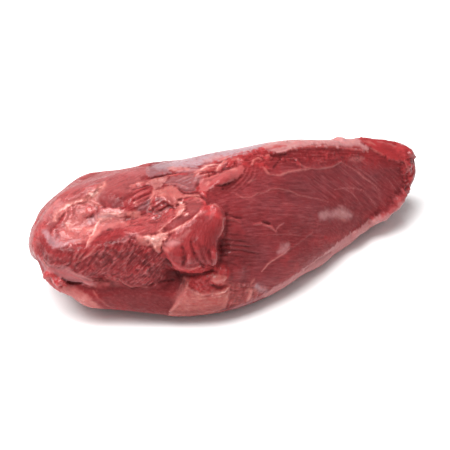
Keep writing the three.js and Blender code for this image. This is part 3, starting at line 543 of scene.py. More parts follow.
UNDER_MARKS = [
    line("red under the flap", [(196, 276), (204, 283), (214, 287), (224, 288)], 7, bright=0.75, dark=0.35),
    line("bright red corner", [(194, 280), (200, 284), (206, 284)], 4.2, bright=1, wet=0.5),
    line("red roll", [(214, 268), (221, 268), (226, 272), (226, 278)], 4.6, bright=0.8),
    line("pale lump", [(213, 277), (217, 279), (224, 279)], 6, fat=0.72, firm=True, rise=0.6),
    line("light on the pale lump", [(214, 276), (221, 276)], 2.6, fat=0.9),
    line("shade under the lump", [(210, 285), (219, 288), (226, 286)], 2.2, dark=0.7, rise=-1),
    line("pad of fat", [(182, 303), (194, 301), (208, 301), (222, 297)], 13, fat=0.56, firm=True),
    line("upper corner of the pad", [(186, 280), (184, 288), (180, 297), (176, 306)], 6, fat=0.45, pink=0.4),
    line("pale streak beside the pad", [(184, 277), (181, 286), (178, 294)], 1.6, fat=0.5, rise=0.4),
    line("second pale streak", [(190, 279), (187, 287), (186, 294)], 1.4, fat=0.5, rise=0.3),
    line("shade of the pad's corner", [(187, 283), (184, 291), (181, 300)], 2, dark=0.25, fat=-0.3),
    line("white rim of the pad", [(211, 295), (217, 292.5), (224, 291), (229, 287)], 2.2, fat=0.95, rise=0.4),
    line("line across the pad", [(179, 306), (192, 305), (206, 307), (222, 305)], 1.2, fat=-0.4, dark=0.2),
    line("second line across the pad", [(188, 298), (200, 301), (214, 299)], 1.2, fat=-0.3, bright=0.2),
    line("third line across the pad", [(197, 304), (208, 301), (220, 302)], 1, fat=0.8),
    line("red in the pad", [(206, 297), (214, 300), (222, 300)], 4, bright=0.35, fat=-0.25),
    line("pad's ragged top", [(186, 285), (192, 291), (202, 294), (211, 293), (218, 294), (226, 290)], 2.2,
         fat=0.7, rise=0.8, torn=1),
    line("pad's left edge", [(188, 282), (186, 291), (181, 299), (176, 306), (170, 311)], 2.6, fat=0.7,
         rise=0.7, firm=True),
    line("light on the pad's top", [(192, 298), (204, 299), (214, 297), (224, 295)], 3.4, fat=0.8),
    line("light at the pad's foot", [(176, 309), (184, 308), (190, 310)], 3.4, fat=0.75),
    line("red vein of the pad", [(190, 303), (200, 305), (212, 303), (221, 305)], 1.2, bright=0.6, fat=-0.6),
    # Darker along the pad's foot by the floor: painted shade.
    line("pad's foot", [(172, 311), (186, 312), (202, 311), (220, 307)], 5, fat=-0.35, dark=0.3),
    line("lower right of the pad", [(226, 300), (234, 297), (240, 293)], 6, fat=0.3, bright=0.2),
    line("small tan fat", [(246, 290), (251, 291), (250, 296), (247, 300)], 4, fat=0.6, rise=0.7),
    line("threads above the tan fat", [(254, 279), (251, 284)], 2, fat=0.5),
    line("silver at the foot", [(256, 286), (262, 290), (268, 292)], 4.5, silver=0.7),
    line("pale skin of the foot", [(232, 309), (246, 304), (262, 297), (276, 290)], 5, silver=0.35, pink=0.2),
    area("skin along the low edge", [(262, 296), (270, 290.5), (284, 282), (298, 273), (312, 264), (324, 255),
         (336, 244), (345, 237.5), (360, 227), (373, 216), (388, 208), (402, 198), (413, 200), (400, 216),
         (382, 230), (364, 242), (347, 253), (330, 264), (300, 284), (274, 301)], 0.9, silver=0.42, fat=0.36,
         pink=0.3, torn=-0.9),
    line("pale stretch of the low edge", [(360, 230), (374, 220), (388, 210), (400, 200)], 4, silver=0.5,
         fat=0.6),
    line("thin pale upper rim", [(324, 256), (337, 245), (346, 238), (360, 228), (373, 218)], 1.4, fat=0.5),
]
TIP_MARKS = [
    area("red lump of the tip", [(360, 139), (366, 135), (380, 134), (392, 136), (403, 142), (412, 150),
         (409, 157), (405, 161), (397, 161), (388, 159), (379, 154), (371, 149), (365, 144)], 1.4, bright=0.6,
         wet=0.2, rise=0.8, torn=-0.8, silver=-1, fat=-1, pink=-0.8),
    line("dark in the tip's lump", [(382, 147), (392, 151), (402, 157)], 4, dark=0.22),
    line("light on the lump's left", [(365, 141), (370, 142), (374, 144)], 3.4, fat=0.4),
    line("orange nub on the crest", [(356, 139.5), (362, 139)], 3.2, bright=1, rise=1, fat=0.2),
    line("light on the tip's lump", [(378, 141), (388, 143), (396, 147)], 2.4, pink=0.5),
    line("white threads by the lump", [(360, 147), (364, 148), (368, 152)], 1.8, fat=0.55),
    line("thread along the lump", [(370, 148), (377, 152), (382, 155)], 1.4, fat=0.35),
    line("ragged end", [(405, 156), (410, 166), (409, 178), (406, 190)], 5, torn=0.7, bright=0.4),
    line("dark corner", [(405, 151), (410, 155)], 3, dark=0.3, torn=0.4),
    line("point of the corner", [(409, 154), (413, 157)], 5, rise=2.4),
    line("first bump of the end", [(412, 164), (413, 167)], 3.4, rise=1.2),
    line("second bump of the end", [(411, 176), (411, 180)], 3.4, rise=1.2),
    line("lower corner", [(408, 188), (406, 194)], 7, rise=1.6),
    line("dark of the end", [(397, 166), (401, 174), (402, 183)], 4, dark=0.25, torn=0.3),
    line("red rim of the end", [(412, 160), (413, 170), (410, 180), (408, 190)], 4.4, bright=0.9, torn=-0.4),
    line("pale thread of the end", [(404, 160), (408, 168), (405, 176)], 1.2, fat=0.3),
]
# Lights and shades that lie over the other marks
LAST_MARKS = [
    line("dark wall by the hollow", [(63, 217), (59, 225), (57, 232), (57, 240)], 5, dark=0.4, bright=0.7,
         pink=-0.9, fat=-1, wet=-1, silver=-0.8),
    line("white bit on the lobe", [(88, 197), (93, 195), (99, 189.5), (105, 183)], 4.4, fat=0.8, pink=1,
         torn=0.6),
    area("calm membrane", [(91, 223), (97, 213), (106, 208), (118, 208), (126, 212), (124, 220), (110, 222),
         (99, 226)], 2, even=14, silver=0.12, pink=0.7, fat=0.3, dark=-1, bright=0.3),
    line("pale lip", [(55, 220), (57, 213), (63, 209), (69, 205), (76, 201.5), (84, 200)], 5, fat=1, pink=1,
         dark=-1, bright=-0.5),
    line("pale skin beside the string", [(104, 224), (99, 231), (94, 237), (89, 242)], 4, fat=0.6, pink=0.9,
         rise=0.3),
    area("calm flesh right of the string", [(98, 224), (104, 217), (124, 216), (128, 227), (110, 229),
         (100, 232)], 3, even=10, dark=-1, pink=0.6, bright=0.4),
    line("salmon flesh", [(105, 221), (111, 219.5), (119, 222)], 5, pink=0.9),
    line("pale flesh beside the pit", [(109, 226), (114, 225), (118, 224)], 3.6, fat=0.6, pink=0.8),
    line("light on the membrane", [(108, 213), (117, 213)], 4, fat=0.95, silver=0.6),
    line("light beside the membrane", [(98, 219.5), (105, 218.5), (112, 218.5)], 4, fat=0.8, silver=-0.3,
         pink=1, bright=0.4),
    line("pale floor of the hollow", [(67, 225), (69, 230), (77, 230), (87, 231), (94, 231)], 5, fat=0.86,
         pink=0.9),
    line("dark muscle over the dip", [(111, 202), (119, 201), (126, 198), (131, 194)], 7, dark=0.5, pink=-0.9,
         wet=-0.9),
    area("calm muscle over the dip", [(106, 198), (112, 193), (122, 194), (128, 198), (122, 206), (112, 207)],
         2, even=14, wet=-1),
    line("dark muscle left of the membrane", [(141, 178), (149, 177)], 4, dark=0.3, pink=-0.6),
    line("dark muscle under the chunk", [(159, 198), (160, 202), (158, 205)], 5, dark=0.5, bright=0.4, fat=-1,
         pink=-0.9),
    line("pale tail of the chunk", [(156, 191), (153, 195), (151, 199)], 3, fat=0.6, pink=0.8),
    line("dark meat below the dip", [(110, 241), (118, 243), (126, 243)], 5, dark=0.35, pink=-0.7),
    line("pale meat left of the fat", [(138, 237), (144, 240), (149, 244)], 5, fat=0.5, pink=0.8, rise=0.3),
    line("pale corner of the flap", [(164, 243), (171, 243), (178, 242)], 4.4, pink=0.9, silver=0.2, fat=0.15,
         dark=-1),
    line("pale tan lumps", [(194, 173), (200, 170.5), (207, 166), (214, 164.5), (220, 165)], 4, fat=0.95,
         pink=1, bright=-0.8, silver=0.3),
    line("deep red of the strip", [(210, 185), (219, 183), (228, 180)], 4.4, bright=0.4, pink=-0.8,
         dark=0.15),
    line("red edge of the rind", [(268, 149), (276, 147.5), (286, 146)], 3.6, bright=0.8, silver=-1, fat=-0.8,
         pink=-0.7),
    line("red end of the rind", [(340, 147.5), (350, 147.5), (360, 147)], 4.4, bright=0.4, silver=-0.8,
         fat=-0.7, pink=-0.6, dark=0.15),
    line("shade below the silver tail", [(84, 248), (93, 249), (100, 246)], 4.6, dark=0.3, pink=-0.6,
         bright=0.3),
    line("deep meat under the dip", [(106, 250), (112, 249), (119, 248)], 5, dark=0.35),
    line("shade in the hollow", [(84, 217), (90, 218), (96, 216)], 3, bright=0.7, dark=0.1, pink=-0.5,
         fat=-0.7),
    line("dark right of the lip", [(98, 209), (100, 213)], 3.6, dark=0.3, fat=-0.6, pink=-0.4),
    line("muscle left of the crescent", [(40, 236), (43, 243), (48, 250)], 3, dark=0.3, bright=0.3),
    line("light on the tail", [(60, 247), (68, 244.5), (77, 242.5)], 2.6, silver=0.8, fat=0.35, bright=-1),
    line("dark shoulder of the chunk", [(167, 196), (171, 201), (173, 206)], 3.4, dark=0.35, fat=-0.5,
         bright=0.3),
    line("brown edge of the membrane", [(191, 181), (196, 183), (195, 188)], 3.4, dark=0.4, silver=-0.5),
    line("brown gap of the tan lumps", [(196, 178), (202, 176.5)], 3, dark=0.35, fat=-0.6),
    line("shade under the red roll", [(203, 280), (208, 279)], 3.6, bright=0.7),
    line("shade of the layered foot", [(236, 292), (243, 291), (246, 287)], 4, dark=0.4, fat=-0.5),
    line("red over the dark meat", [(136, 250), (142, 249), (148, 252)], 4.4, bright=0.4),
    line("light over the first crease", [(180, 250), (186, 248)], 3.6, dark=-0.8, bright=0.5),
    line("red below the third crease", [(216, 266), (222, 268)], 3.6, dark=-0.8, bright=0.5),
    line("pink corner of the flap", [(162, 248), (168, 250)], 4, pink=0.6, bright=0.4),
    line("pink roll over the window", [(186, 201.5), (194, 200), (203, 201)], 3.2, pink=0.7, bright=0.7),
    line("fat by the window", [(181, 212), (185, 213)], 3.2, fat=0.85),
    line("pink below the window", [(198, 214), (203, 212)], 3.2, pink=0.9),
    line("light of the purple patch", [(138, 208), (144, 206)], 3.6, dark=-0.7, pink=0.3),
    line("red near the ragged end", [(403, 168), (406, 174)], 3.6, bright=0.5),
    line("light right of the flap", [(224, 236), (225, 244), (224, 252)], 3.4, dark=-0.5),
    line("pale end of the sliver", [(157, 231), (162, 230)], 3.2, fat=0.65),
    line("pale corner of the pad", [(222, 291), (228, 290)], 3.2, fat=0.75, dark=-1),
    line("pink under the rind's end", [(350, 160), (357, 159), (364, 158)], 3.6, pink=0.6),
    line("pale line of the red lumps", [(232, 160), (238, 158.5)], 2.6, fat=0.55),
    line("light on the crown", [(204, 161.5), (214, 159), (223, 156.5)], 3.2, silver=0.85, fat=0.4),
    line("end of the slit's shade", [(94, 282), (100, 282), (107, 284)], 6, dark=-0.8),
    line("muscle right of the pale pad", [(98, 298), (101, 304), (104, 309)], 4.4, fat=-1, pink=-0.7,
         dark=0.2),
    # Painted shadow at the pad's foot.
    line("foot of the pad", [(216, 311), (226, 308), (234, 306)], 4, dark=0.5, fat=-0.6),
    line("fat beside the lump", [(221, 283), (228, 286)], 3.6, fat=0.4, dark=-1),
    line("shade right of the red roll", [(231, 268), (231.5, 274), (231, 280)], 3.4, dark=0.5),
    line("pale top of the flap's left", [(176, 240), (183, 236), (190, 230)], 2.6, pink=0.7),
    line("pale left end of the strip", [(204, 185), (208, 182)], 3.4, pink=0.8, fat=0.3),
    line("purple meat below the dip", [(110, 237), (117, 237), (124, 238)], 4.4, dark=0.3, bright=0.2),
    line("darkest hollow of the front", [(96, 263), (101, 266), (106, 262), (108, 257)], 5, dark=0.6,
         pink=-0.8),
    line("pink edge of the dip", [(160, 226), (166, 223), (171, 219)], 3.4, pink=0.8),
    line("pink strands of the dip", [(151, 206), (156, 210), (161, 214)], 4.4, pink=0.7, silver=0.1,
         dark=-0.7),
    line("white of the fat's middle", [(149, 238), (154, 238), (158, 236)], 3, wet=0.5),
    line("pink inner lip", [(82, 203.5), (90, 201.5), (97, 203)], 3.6, pink=1, fat=0.35, dark=-1),
    line("red below the tail", [(75, 248), (82, 250), (89, 247)], 4.4, bright=0.5, pink=-0.8, dark=0.25,
         fat=-0.7),
    line("red shoulder of the flap", [(207, 214), (213, 212), (217, 216)], 4.6, bright=0.9),
    line("muscle left of the pad", [(173, 302), (177, 296), (181, 288)], 3.4, fat=-0.7, dark=0.25),
    line("shade down the flap", [(190, 236), (197, 244), (202, 251)], 7, dark=0.3),
    line("pale knot behind the lumps", [(220, 161), (226, 158), (232, 155.5)], 3, fat=0.65, pink=0.6),
    line("pale rim of the blunt end", [(46, 213), (52, 206), (60, 199)], 4.6, pink=1, fat=0.25),
    line("flesh at the slit's end", [(87, 282), (97, 282), (108, 283)], 6, rise=1.6, dark=-0.9, pink=0.4,
         bright=0.3),
    area("red under the scrap", [(43, 277), (50, 279), (56, 286), (61, 292), (57, 296), (50, 292), (43, 284)],
         1.5, bright=0.8, pink=0.5, torn=0.4),
    line("pale scrap's light", [(126, 213.5), (132, 212)], 3, fat=0.6, pink=0.6),
    # More painted shade under the red roll.
    line("more shade under the red roll", [(204, 281), (211, 278)], 4, dark=0.4, fat=-1),
    line("light over the low edge", [(364, 219), (374, 212), (382, 206)], 5, bright=0.2),
    line("pale rim of the tip", [(380, 217), (388, 212), (395, 207.5), (400, 204)], 3, silver=0.5, fat=0.62,
         pink=0.4),
    line("pink over the flap's top", [(197, 202), (204, 201)], 3.2, bright=0.7, pink=0.7, dark=-1),
    line("red below the purple meat", [(108, 245), (113, 250), (118, 252), (118, 256)], 4.4, bright=0.4,
         pink=-0.9),
    line("dark meat by the bulge", [(98, 266), (101, 270)], 4.4, dark=0.4),
    line("dark over the tan lumps", [(163, 177), (168, 178)], 3, dark=0.3, fat=-0.4),
    line("red tip of the flap", [(211, 258), (215, 263)], 4, bright=0.6),
    # Less fat at the pad's foot, as part of its painted shadow.
    line("foot of the lower right", [(222, 309), (229, 307)], 3.4, fat=-0.5),
    line("red left of the bulge", [(42, 252), (46, 256), (52, 259)], 5.4, dark=0.6),
    line("violet of the tail", [(49, 241), (53, 244.5)], 3.4, silver=0.7, dark=0.35, pink=-0.6),
    line("pale bits on the lobe", [(90, 194), (94, 195), (97, 193)], 6, fat=1, pink=1, torn=0.4, wet=0.8),
    line("white glints of the membrane", [(107, 218.5), (114, 219.5)], 4, fat=1, bright=0.6),
    line("pale left end of the lip", [(60, 214), (65, 212)], 3.2, fat=0.55, pink=0.6),
    line("pale edge above the chunk", [(155, 194), (161, 195)], 3, fat=0.6, pink=0.5),
    line("deep red wall", [(56, 227), (58, 233)], 3.2, bright=0.8),
    line("pale end of the side wall", [(66, 224), (72, 225)], 4, fat=0.9),
    line("deep red below the side wall", [(55, 229), (58, 233)], 4, dark=0.5, pink=-1),
    line("pale haze below the crown", [(179, 171), (189, 170), (199, 170)], 5.4, pink=0.6, silver=0.4),
    line("silver haze on the crown", [(207, 160), (214, 158), (221, 157)], 5, fat=0.4),
    line("dark stripe under the haze", [(162, 177.5), (168, 176.5)], 4, dark=0.55, silver=-0.8),
    line("dark stripe beside the chunk", [(186, 190), (192, 188.5)], 4.4, pink=-1),
    # More painted shadow at the pad's foot.
    line("dark foot of the pad", [(220, 310), (228, 308), (233, 306)], 3.8, dark=0.7, fat=-0.8),
    line("red in the silver strip", [(275, 147), (283, 146.5)], 3.6, silver=-0.8),
    line("shade of the foot's silver", [(264, 291), (270, 289.5)], 4.2, dark=0.5, silver=-0.5),
    line("shade of the rim", [(318, 262), (324, 258)], 3.4, dark=0.45),
    line("light left of the foot's silver", [(252, 291), (257, 291)], 3.8, fat=0.6),
    line("light in the crease beside the flap", [(224, 240), (225, 246)], 3, dark=-0.9, bright=0.3),
    line("pink flesh beside the membrane", [(132, 213), (138, 213)], 4.2, fat=0.55, pink=0.7, dark=-1),
    line("shade of the pale ridge", [(156, 184), (162, 183)], 3.8, dark=0.4),
    line("red beside the lump", [(90, 214), (95, 213), (100, 212)], 3.4, bright=0.6, fat=-0.8, pink=-0.6,
         silver=-0.6),
    line("shade over the membrane", [(105, 207), (112, 206.5), (119, 206)], 3, dark=0.3, fat=-0.9, pink=-0.6),
    line("flesh right of the pit", [(119, 225), (126, 225)], 3.6, fat=-0.8, pink=-0.4),
    line("dark meat at the lobe's foot", [(57, 250), (65, 250), (73, 252)], 5.4, dark=0.7, pink=-1, fat=-1,
         silver=-1, wet=-1),
    line("darkest purple meat", [(106, 243), (113, 243), (120, 244)], 5, dark=0.75),
    line("darkest meat over the front", [(107, 248), (114, 250), (119, 256)], 5.6, dark=0.85, pink=-1),
    line("shade left of the purple meat", [(94, 243), (101, 242)], 4.4, dark=0.5),
    line("shade above the purple meat", [(112, 237), (120, 236)], 4.4, dark=0.6),
    line("deep red of the lobe", [(77, 249), (84, 249)], 4.4, dark=0.5, pink=-1),
    line("red end of the scrap", [(53, 277), (60, 281)], 4.4, bright=1, silver=-1, dark=0.3),
    line("red brow of the flap", [(209, 214), (214, 212), (218, 217)], 4.6, bright=1),
    line("deep red left of the membrane", [(142, 179), (150, 177)], 3.6, dark=0.4, pink=-1, bright=0.3),
    line("shade right of the membrane", [(185, 190), (192, 188.5)], 3.4, fat=-0.5),
    line("deep shade of the flap's middle", [(193, 239), (200, 245), (203, 247)], 5.4, dark=0.7),
    line("shade of the flap's tip", [(211, 257), (214, 264)], 5, dark=0.6, bright=0.4),
    line("red at the rind's end", [(354, 147), (361, 147.5), (366, 149)], 3.4, bright=0.5, pink=-0.6,
         silver=-0.7, fat=-0.6),
    line("red of the drip", [(157, 248), (161, 250)], 3.2, fat=-0.5, bright=0.5),
    line("red in the gap", [(189, 279), (197, 279), (205, 277), (213, 273)], 4.4, bright=1, dark=-0.7),
]
# Marks on the sides that don't show. Their places are in millimetres, seen from behind or from below.
BACK_MARKS = [
    line("silverskin sheet", [(-95, 40), (-60, 46), (-20, 48)], 24, silver=0.5, pink=0.5),
    line("end of the silverskin", [(-20, 46), (10, 42), (34, 36)], 14, silver=0.4, pink=0.4),
    line("rough edge of the silverskin", [(-100, 50), (-70, 56), (-40, 57), (-8, 54)], 5, silver=0.3,
         torn=0.3),
    line("long seam", [(-118, 26), (-90, 22), (-55, 25), (-20, 22), (20, 18), (60, 16), (95, 20)], 1.8,
         fat=0.5, pink=0.8, ledge=0.9),
    line("branch of the seam", [(-20, 22), (0, 32), (24, 36), (52, 34)], 1.4, fat=0.4, pink=0.7, ledge=0.5),
    line("fat in the seam", [(-60, 22), (-45, 20), (-28, 22)], 7, fat=0.6, rise=0.8, torn=0.4, firm=True),
    line("fat by the tip", [(78, 24), (92, 26), (106, 25)], 7, fat=0.5, rise=0.5, torn=0.4, firm=True),
    line("torn muscle", [(30, 44), (50, 42), (72, 38)], 9, torn=0.5, bright=0.4),
    line("torn blunt end", [(-122, 40), (-124, 28), (-118, 16)], 10, torn=0.5, bright=0.3),
    line("bright muscle", [(-100, 60), (-80, 66), (-50, 68)], 12, bright=0.35),
    line("dark muscle", [(0, 10), (40, 8), (80, 8)], 9, dark=0.35),
    line("groove", [(-90, 12), (-60, 10), (-30, 12)], 3, rise=-0.9, dark=0.5),
    line("first pale fibre", [(-84, 34), (-60, 31), (-40, 33)], 1.1, pink=0.7, fat=0.2),
    line("second pale fibre", [(10, 28), (34, 25), (62, 27)], 1.1, pink=0.7, fat=0.2),
    line("third pale fibre", [(40, 50), (60, 46), (84, 40)], 1.1, pink=0.7, fat=0.2),
]
BELOW_MARKS = [
    line("silverskin", [(-70, -14), (-30, -6), (10, 0)], 26, silver=0.7, pink=0.4, firm=True),
    line("fat", [(-80, 18), (-50, 22), (-20, 20)], 14, fat=0.55, firm=True),
    line("seam", [(-100, 4), (-60, 8), (-20, 12), (30, 14), (80, 8)], 2, fat=0.5, pink=0.8),
    line("bright muscle", [(30, -12), (60, -8), (90, 0)], 16, bright=0.3),
    line("dark muscle", [(-100, -10), (-104, 6)], 14, dark=0.4),
]
for hidden_side, hidden_marks in (("back", BACK_MARKS), ("below", BELOW_MARKS)):
    for _, _, _, hidden_effects in hidden_marks:
        hidden_effects["side"] = hidden_side
ALL_MARKS = (
    BACK_MARKS + BELOW_MARKS + OUTLINE_MARKS + GROUND_MARKS + HOLLOW_MARKS + LOBE_MARKS + FOLD_MARKS
    + DARK_MARKS + DIP_MARKS + FAT_MARKS + RIDGE_MARKS + FACE_MARKS + FLAP_MARKS + UNDER_MARKS + TIP_MARKS
    + LAST_MARKS
)

# How the meat is roughened, in millimetres. Each noise has the size of its lumps and how much it counts,
# and a strand's lumps are also drawn out so many times.
RAGGED_NOISE = ((2.2, 1.0), (1.1, 0.6))
DRIFT_NOISE = ((5, 0.8), (2.1, 0.45))
PATCHY_SIZE = 7
BROKEN_NOISE = ((3.2, 1.0), (1.7, 0.5))
BROKEN_SHIFT = 5
STRAND_NOISE = ((2.3, 3, 1.0), (1.5, 2, 0.6))
STRAND_WAYS = ("slanted", "level")
TORN_HEIGHT = 2.0
TORN_MIDDLE = 0.28
RIPPLE_SIZE = 2.0
RIPPLE_LENGTHS = 6
RIPPLE_HEIGHT = 0.12
# How often the relief is evened out to find its creases, and how strongly what that takes away is painted
# The creases are painted as shade and the crests as light.
CREASE_LOOKS = ((2, 3.2), (16, 1.1))

# How far apart a line's points lie, and how far out it can change anything: so many half widths and a bit
PATH_STEP = 0.6 * MM
WIDEST = 2.6
STRAY = 3 * MM
# The width in millimetres from which a line is wavy in full, how much of its width its ends have, over what
# part of its length it stays that narrow, and how much its width and its edge change along the way
WAVY_WIDTH = 4
END_WIDTH = 0.5
END_PART = 0.02
WIDTH_CHANGE = 0.35
FRAYING = 0.3
# How steeply a line falls off, where a firm one ends and how softly, how much its paint thins in patches and
# in shreds, and how thin that gets
FALL_OFF = 1.2
FIRM_END = 1.25
FIRM_SOFTNESS = 0.5
PATCHY_THINNING = 0.5
RAGGED_THINNING = 0.35
THINNEST = 0.2
# How much further out a ledge fades away, and how wide the step between its sides is
LEDGE_REACH = 2.4
LEDGE_SLOPE = 0.5 * MM
# How ragged an area's edge is, in pixels, and how much more for each pixel that it is soft
AREA_FRAYING = (1.0, 0.6)
# Where the view from behind or below starts, and how far in from there a place that misses the meat is moved
BEHIND = 0.3
BELOW = -0.1
MOVED_IN = 0.25
# How squarely a surface has to face the camera to have the finer mesh, and to be tested for meat in front
# of it, and how far past the edge an area's paint runs on. The test starts just above the surface.
FINE_FACING = 0.04
TESTED_FACING = 0.05
EDGE_FACING = 0.3
JUST_ABOVE = 0.5 * MM
TEST_LENGTH = 0.2

BEEF_COLOURS = (
    "muscle", "dry_muscle_and_sheen", "bright_muscle", "dark_muscle_and_shade", "pink_muscle", "fat", "white_fat", "silverskin"
)
# The noises of the meat's colour and relief: scale, detail and roughness
NOISES = {
    "bloom": (28, 3, 0.6),
    "clouds": (45, 4, 0.6),
    "grain": (420, 3, 0.6),
    "flecks": (900, 2, 0.6),
    "crumbs": (330, 4, 0.7),
    "mottle": (150, 4, 0.65),
}

# The meat's colours, laid one over the other. Each layer has what it follows, how strongly, as one factor or
# as a ramp of where it starts, where it ends and its strength at either end, what it is kept to, if anything,
# and its colour.
MUSCLE_LAYERS = (
    ("clouds", (0.45, 0.75, 0.0, 0.45), None, "bright_muscle"),
    # Duller and greyer where the dry paint lies: partly the muscle's own tone, partly a painted sheen
    ("bloom", (0.35, 0.65, 0.75, 0.15), "dry", "dry_muscle_and_sheen"),
    ("threads", (0.3, 0.56, 0.36, 0.0), None, "dark_muscle_and_shade"),
    ("threads", (0.5, 0.75, 0.0, 0.12), None, "pink_muscle"),
    ("bright", 1.0, None, "bright_muscle"),
    ("pink", 0.8, None, "pink_muscle"),
    # Lighter on the relief's crests: painted light
    ("crest", 0.4, None, "bright_muscle"),
    ("crest", (0.5, 1.0, 0.0, 0.12), None, "pink_muscle"),
    ("crumbs", (0.32, 0.47, 0.75, 0.0), "loose", "dark_muscle_and_shade"),
    ("mottle", (0.48, 0.66, 0.0, 0.5), "loose", "bright_muscle"),
    ("crumbs", (0.56, 0.7, 0.0, 0.4), "loose", "pink_muscle"),
    ("threads", (0.32, 0.5, 0.7, 0.0), "torn", "dark_muscle_and_shade"),
    ("threads", (0.55, 0.68, 0.0, 0.38), "torn", "pink_muscle"),
    ("ragged silver", 0.9, None, "silverskin"),
    ("dark", 0.85, None, "dark_muscle_and_shade"),
    # Darker in the relief's creases, less so under the pink paint: painted shade
    ("pink", (0.3, 0.9, 0.65, 0.25), "crease", "dark_muscle_and_shade"),
)
FAT_LAYERS = (
    ("clouds", (0.4, 0.7, 0.0, 0.5), None, "pink_muscle"),
    ("mottle", (0.36, 0.5, 0.45, 0.0), None, "bright_muscle"),
    ("mottle", (0.54, 0.7, 0.0, 0.4), None, "white_fat"),
    ("threads", (0.35, 0.62, 0.45, 0.0), None, "pink_muscle"),
    ("fat", (0.65, 1.0, 0.0, 0.85), None, "white_fat"),
    ("dark", 0.6, None, "muscle"),
    # Redder and darker in the fat's creases: painted shade
    ("crease", 0.6, None, "bright_muscle"),
)
# Where the grain starts and ends, and what it adds to the edges of fat and skin and to the roughness
GRAIN_RANGE = (0.3, 0.7)
EDGE_CHANGE = (-0.25, 0.2)
ROUGHNESS_CHANGE = (-0.12, 0.14)
# How glossy the crests and the wet places are, and the meat everywhere
CREST_GLOSS = 0.5
WET_GLOSS = 0.5
GLOSS_EVERYWHERE = 0.01
# How high each part of the fine relief stands, how much of it is left where the meat is wettest, and how
# loose the meat is where it isn't torn
THREAD_HEIGHT = 0.8
GRAIN_HEIGHT = 0.35
CRUMB_HEIGHT = 1.2
FLECK_HEIGHT = 0.1
WET_RELIEF = 0.6
LOOSE_EVERYWHERE = 0.15

# Where the lights stand and what they shine at, and half the width of the floor, in metres
KEY_PLACE = (-0.4, 0.05, 1.2)
FILL_PLACES = {"Left fill": (-1.0, -0.5, 0.8), "Right fill": (0.5, -1.1, 1.0)}
LIT_PLACE = (0, 0, 0.03)
FLOOR_REACH = 6


# Sizes and colours

def colour(name, description, default):
    return bpy.props.FloatVectorProperty(
        name=name, description=description, default=default, subtype="COLOR", size=3, min=0, max=1
    )


def length(name, description, default):
    return bpy.props.FloatProperty(
        name=name, description=description, default=default, min=0, unit="LENGTH", precision=4
    )


def share(name, description, default, top=1.0):
    return bpy.props.FloatProperty(name=name, description=description, default=default, min=0, max=top)


def power(name, description, default):
    return bpy.props.FloatProperty(name=name, description=description, default=default, min=0, unit="POWER")


class CutSettings(bpy.types.PropertyGroup):
    mesh_step: length("Mesh step", "Distance between the surface's points, halved where it shows", 1.6 * MM)
    relief: share("Relief", "How strongly the marks stand out of the surface", 1.0, 3.0)
    rounding: bpy.props.IntProperty(
        name="Rounding", description="How often the solid's facets are smoothed", default=12, min=0, max=40
    )
    fibre_length: length("Fibre length", "Length of a muscle fibre's pattern", 9 * MM)
    fibre_pitch: length("Fibre pitch", "Distance from one muscle fibre to the next", 1.2 * MM)
    muscle: colour("Muscle", "Cut face of the muscle", (0.175, 0.017, 0.020))
    # Partly the muscle's own dulled tone, partly a painted sheen
    dry_muscle_and_sheen: colour("Dry muscle", "Muscle where the air has dulled it", (0.175, 0.040, 0.046))
    # Also painted light on the relief's crests, and painted shade in the creases of fat
    bright_muscle: colour("Bright muscle", "Freshly torn, wet muscle", (0.38, 0.028, 0.031))
    # Also painted shade: in the relief's creases, and where the marks paint dark into recesses
    dark_muscle_and_shade: colour("Dark muscle", "Muscle in creases and where it is thick", (0.052, 0.004, 0.005))
    # Also a little painted light on the relief's crests
    pink_muscle: colour("Pink muscle", "Muscle under a thin skin", (0.49, 0.16, 0.155))
    fat: colour("Fat", "Thick fat", (0.47, 0.15, 0.12))
    # Also painted highlights, where marks named glint or light paint fat
    white_fat: colour("White fat", "The palest fat and sinew", (0.82, 0.47, 0.42))
    # Also painted light, where marks named light paint silver
    silverskin: colour("Silverskin", "Thin skin over the muscle", (0.37, 0.25, 0.275))
    dry_roughness: share("Dry roughness", "Gloss of the muscle where it is driest", 0.46)
    wet_roughness: share("Wet roughness", "Gloss where it is wettest", 0.17)


class StageSettings(bpy.types.PropertyGroup):
    floor: colour("Floor", "The pale floor", (0.97, 0.97, 0.97))
    sky_strength: share("Sky", "Strength of the even white light", 0.34, 5.0)
    key_watts: power("Key light", "Large soft light behind and to the left", 33.5)
    fill_watts: power("Fill lights", "Soft lights at the left and the right of the front", 2.2)
    light_size: length("Light size", "Side of the soft lights", 1.15)


def turned_to_x(way):
    """The turn that lays a direction along X."""
    return Vector(way).normalized().rotation_difference(Vector((1, 0, 0)))


# Places in the photograph

def view_axes():
    az, el = VIEW_AZIMUTH, VIEW_ELEVATION
    back = Vector((math.sin(az) * math.cos(el), -math.cos(az) * math.cos(el), math.sin(el)))
    right = Vector((math.cos(az), math.sin(az), 0))
    return right, back.cross(right), back


def photo_ray(x, y):
    """Where the camera stands, and the direction in which it sees a pixel of the photograph."""
    right, up, back = view_axes()
    aim = right * ((x - PHOTO_SIZE / 2) / FOCAL_PIXELS) - up * ((y - PHOTO_SIZE / 2) / FOCAL_PIXELS) - back
    return VIEW_TARGET + back * VIEW_DISTANCE, aim.normalized()


def point_in_photo(tree, x, y):
    """The point that shows at a pixel or, past the outline, the nearest point to what it sees."""
    origin, aim = photo_ray(x, y)
    hit = tree.ray_cast(origin, aim)[0]
    if hit is not None:
        return hit
    far = VIEW_DISTANCE
    for _ in range(4):
        hit = tree.find_nearest(origin + aim * far)[0]
        far = (hit - origin).dot(aim)
    return hit


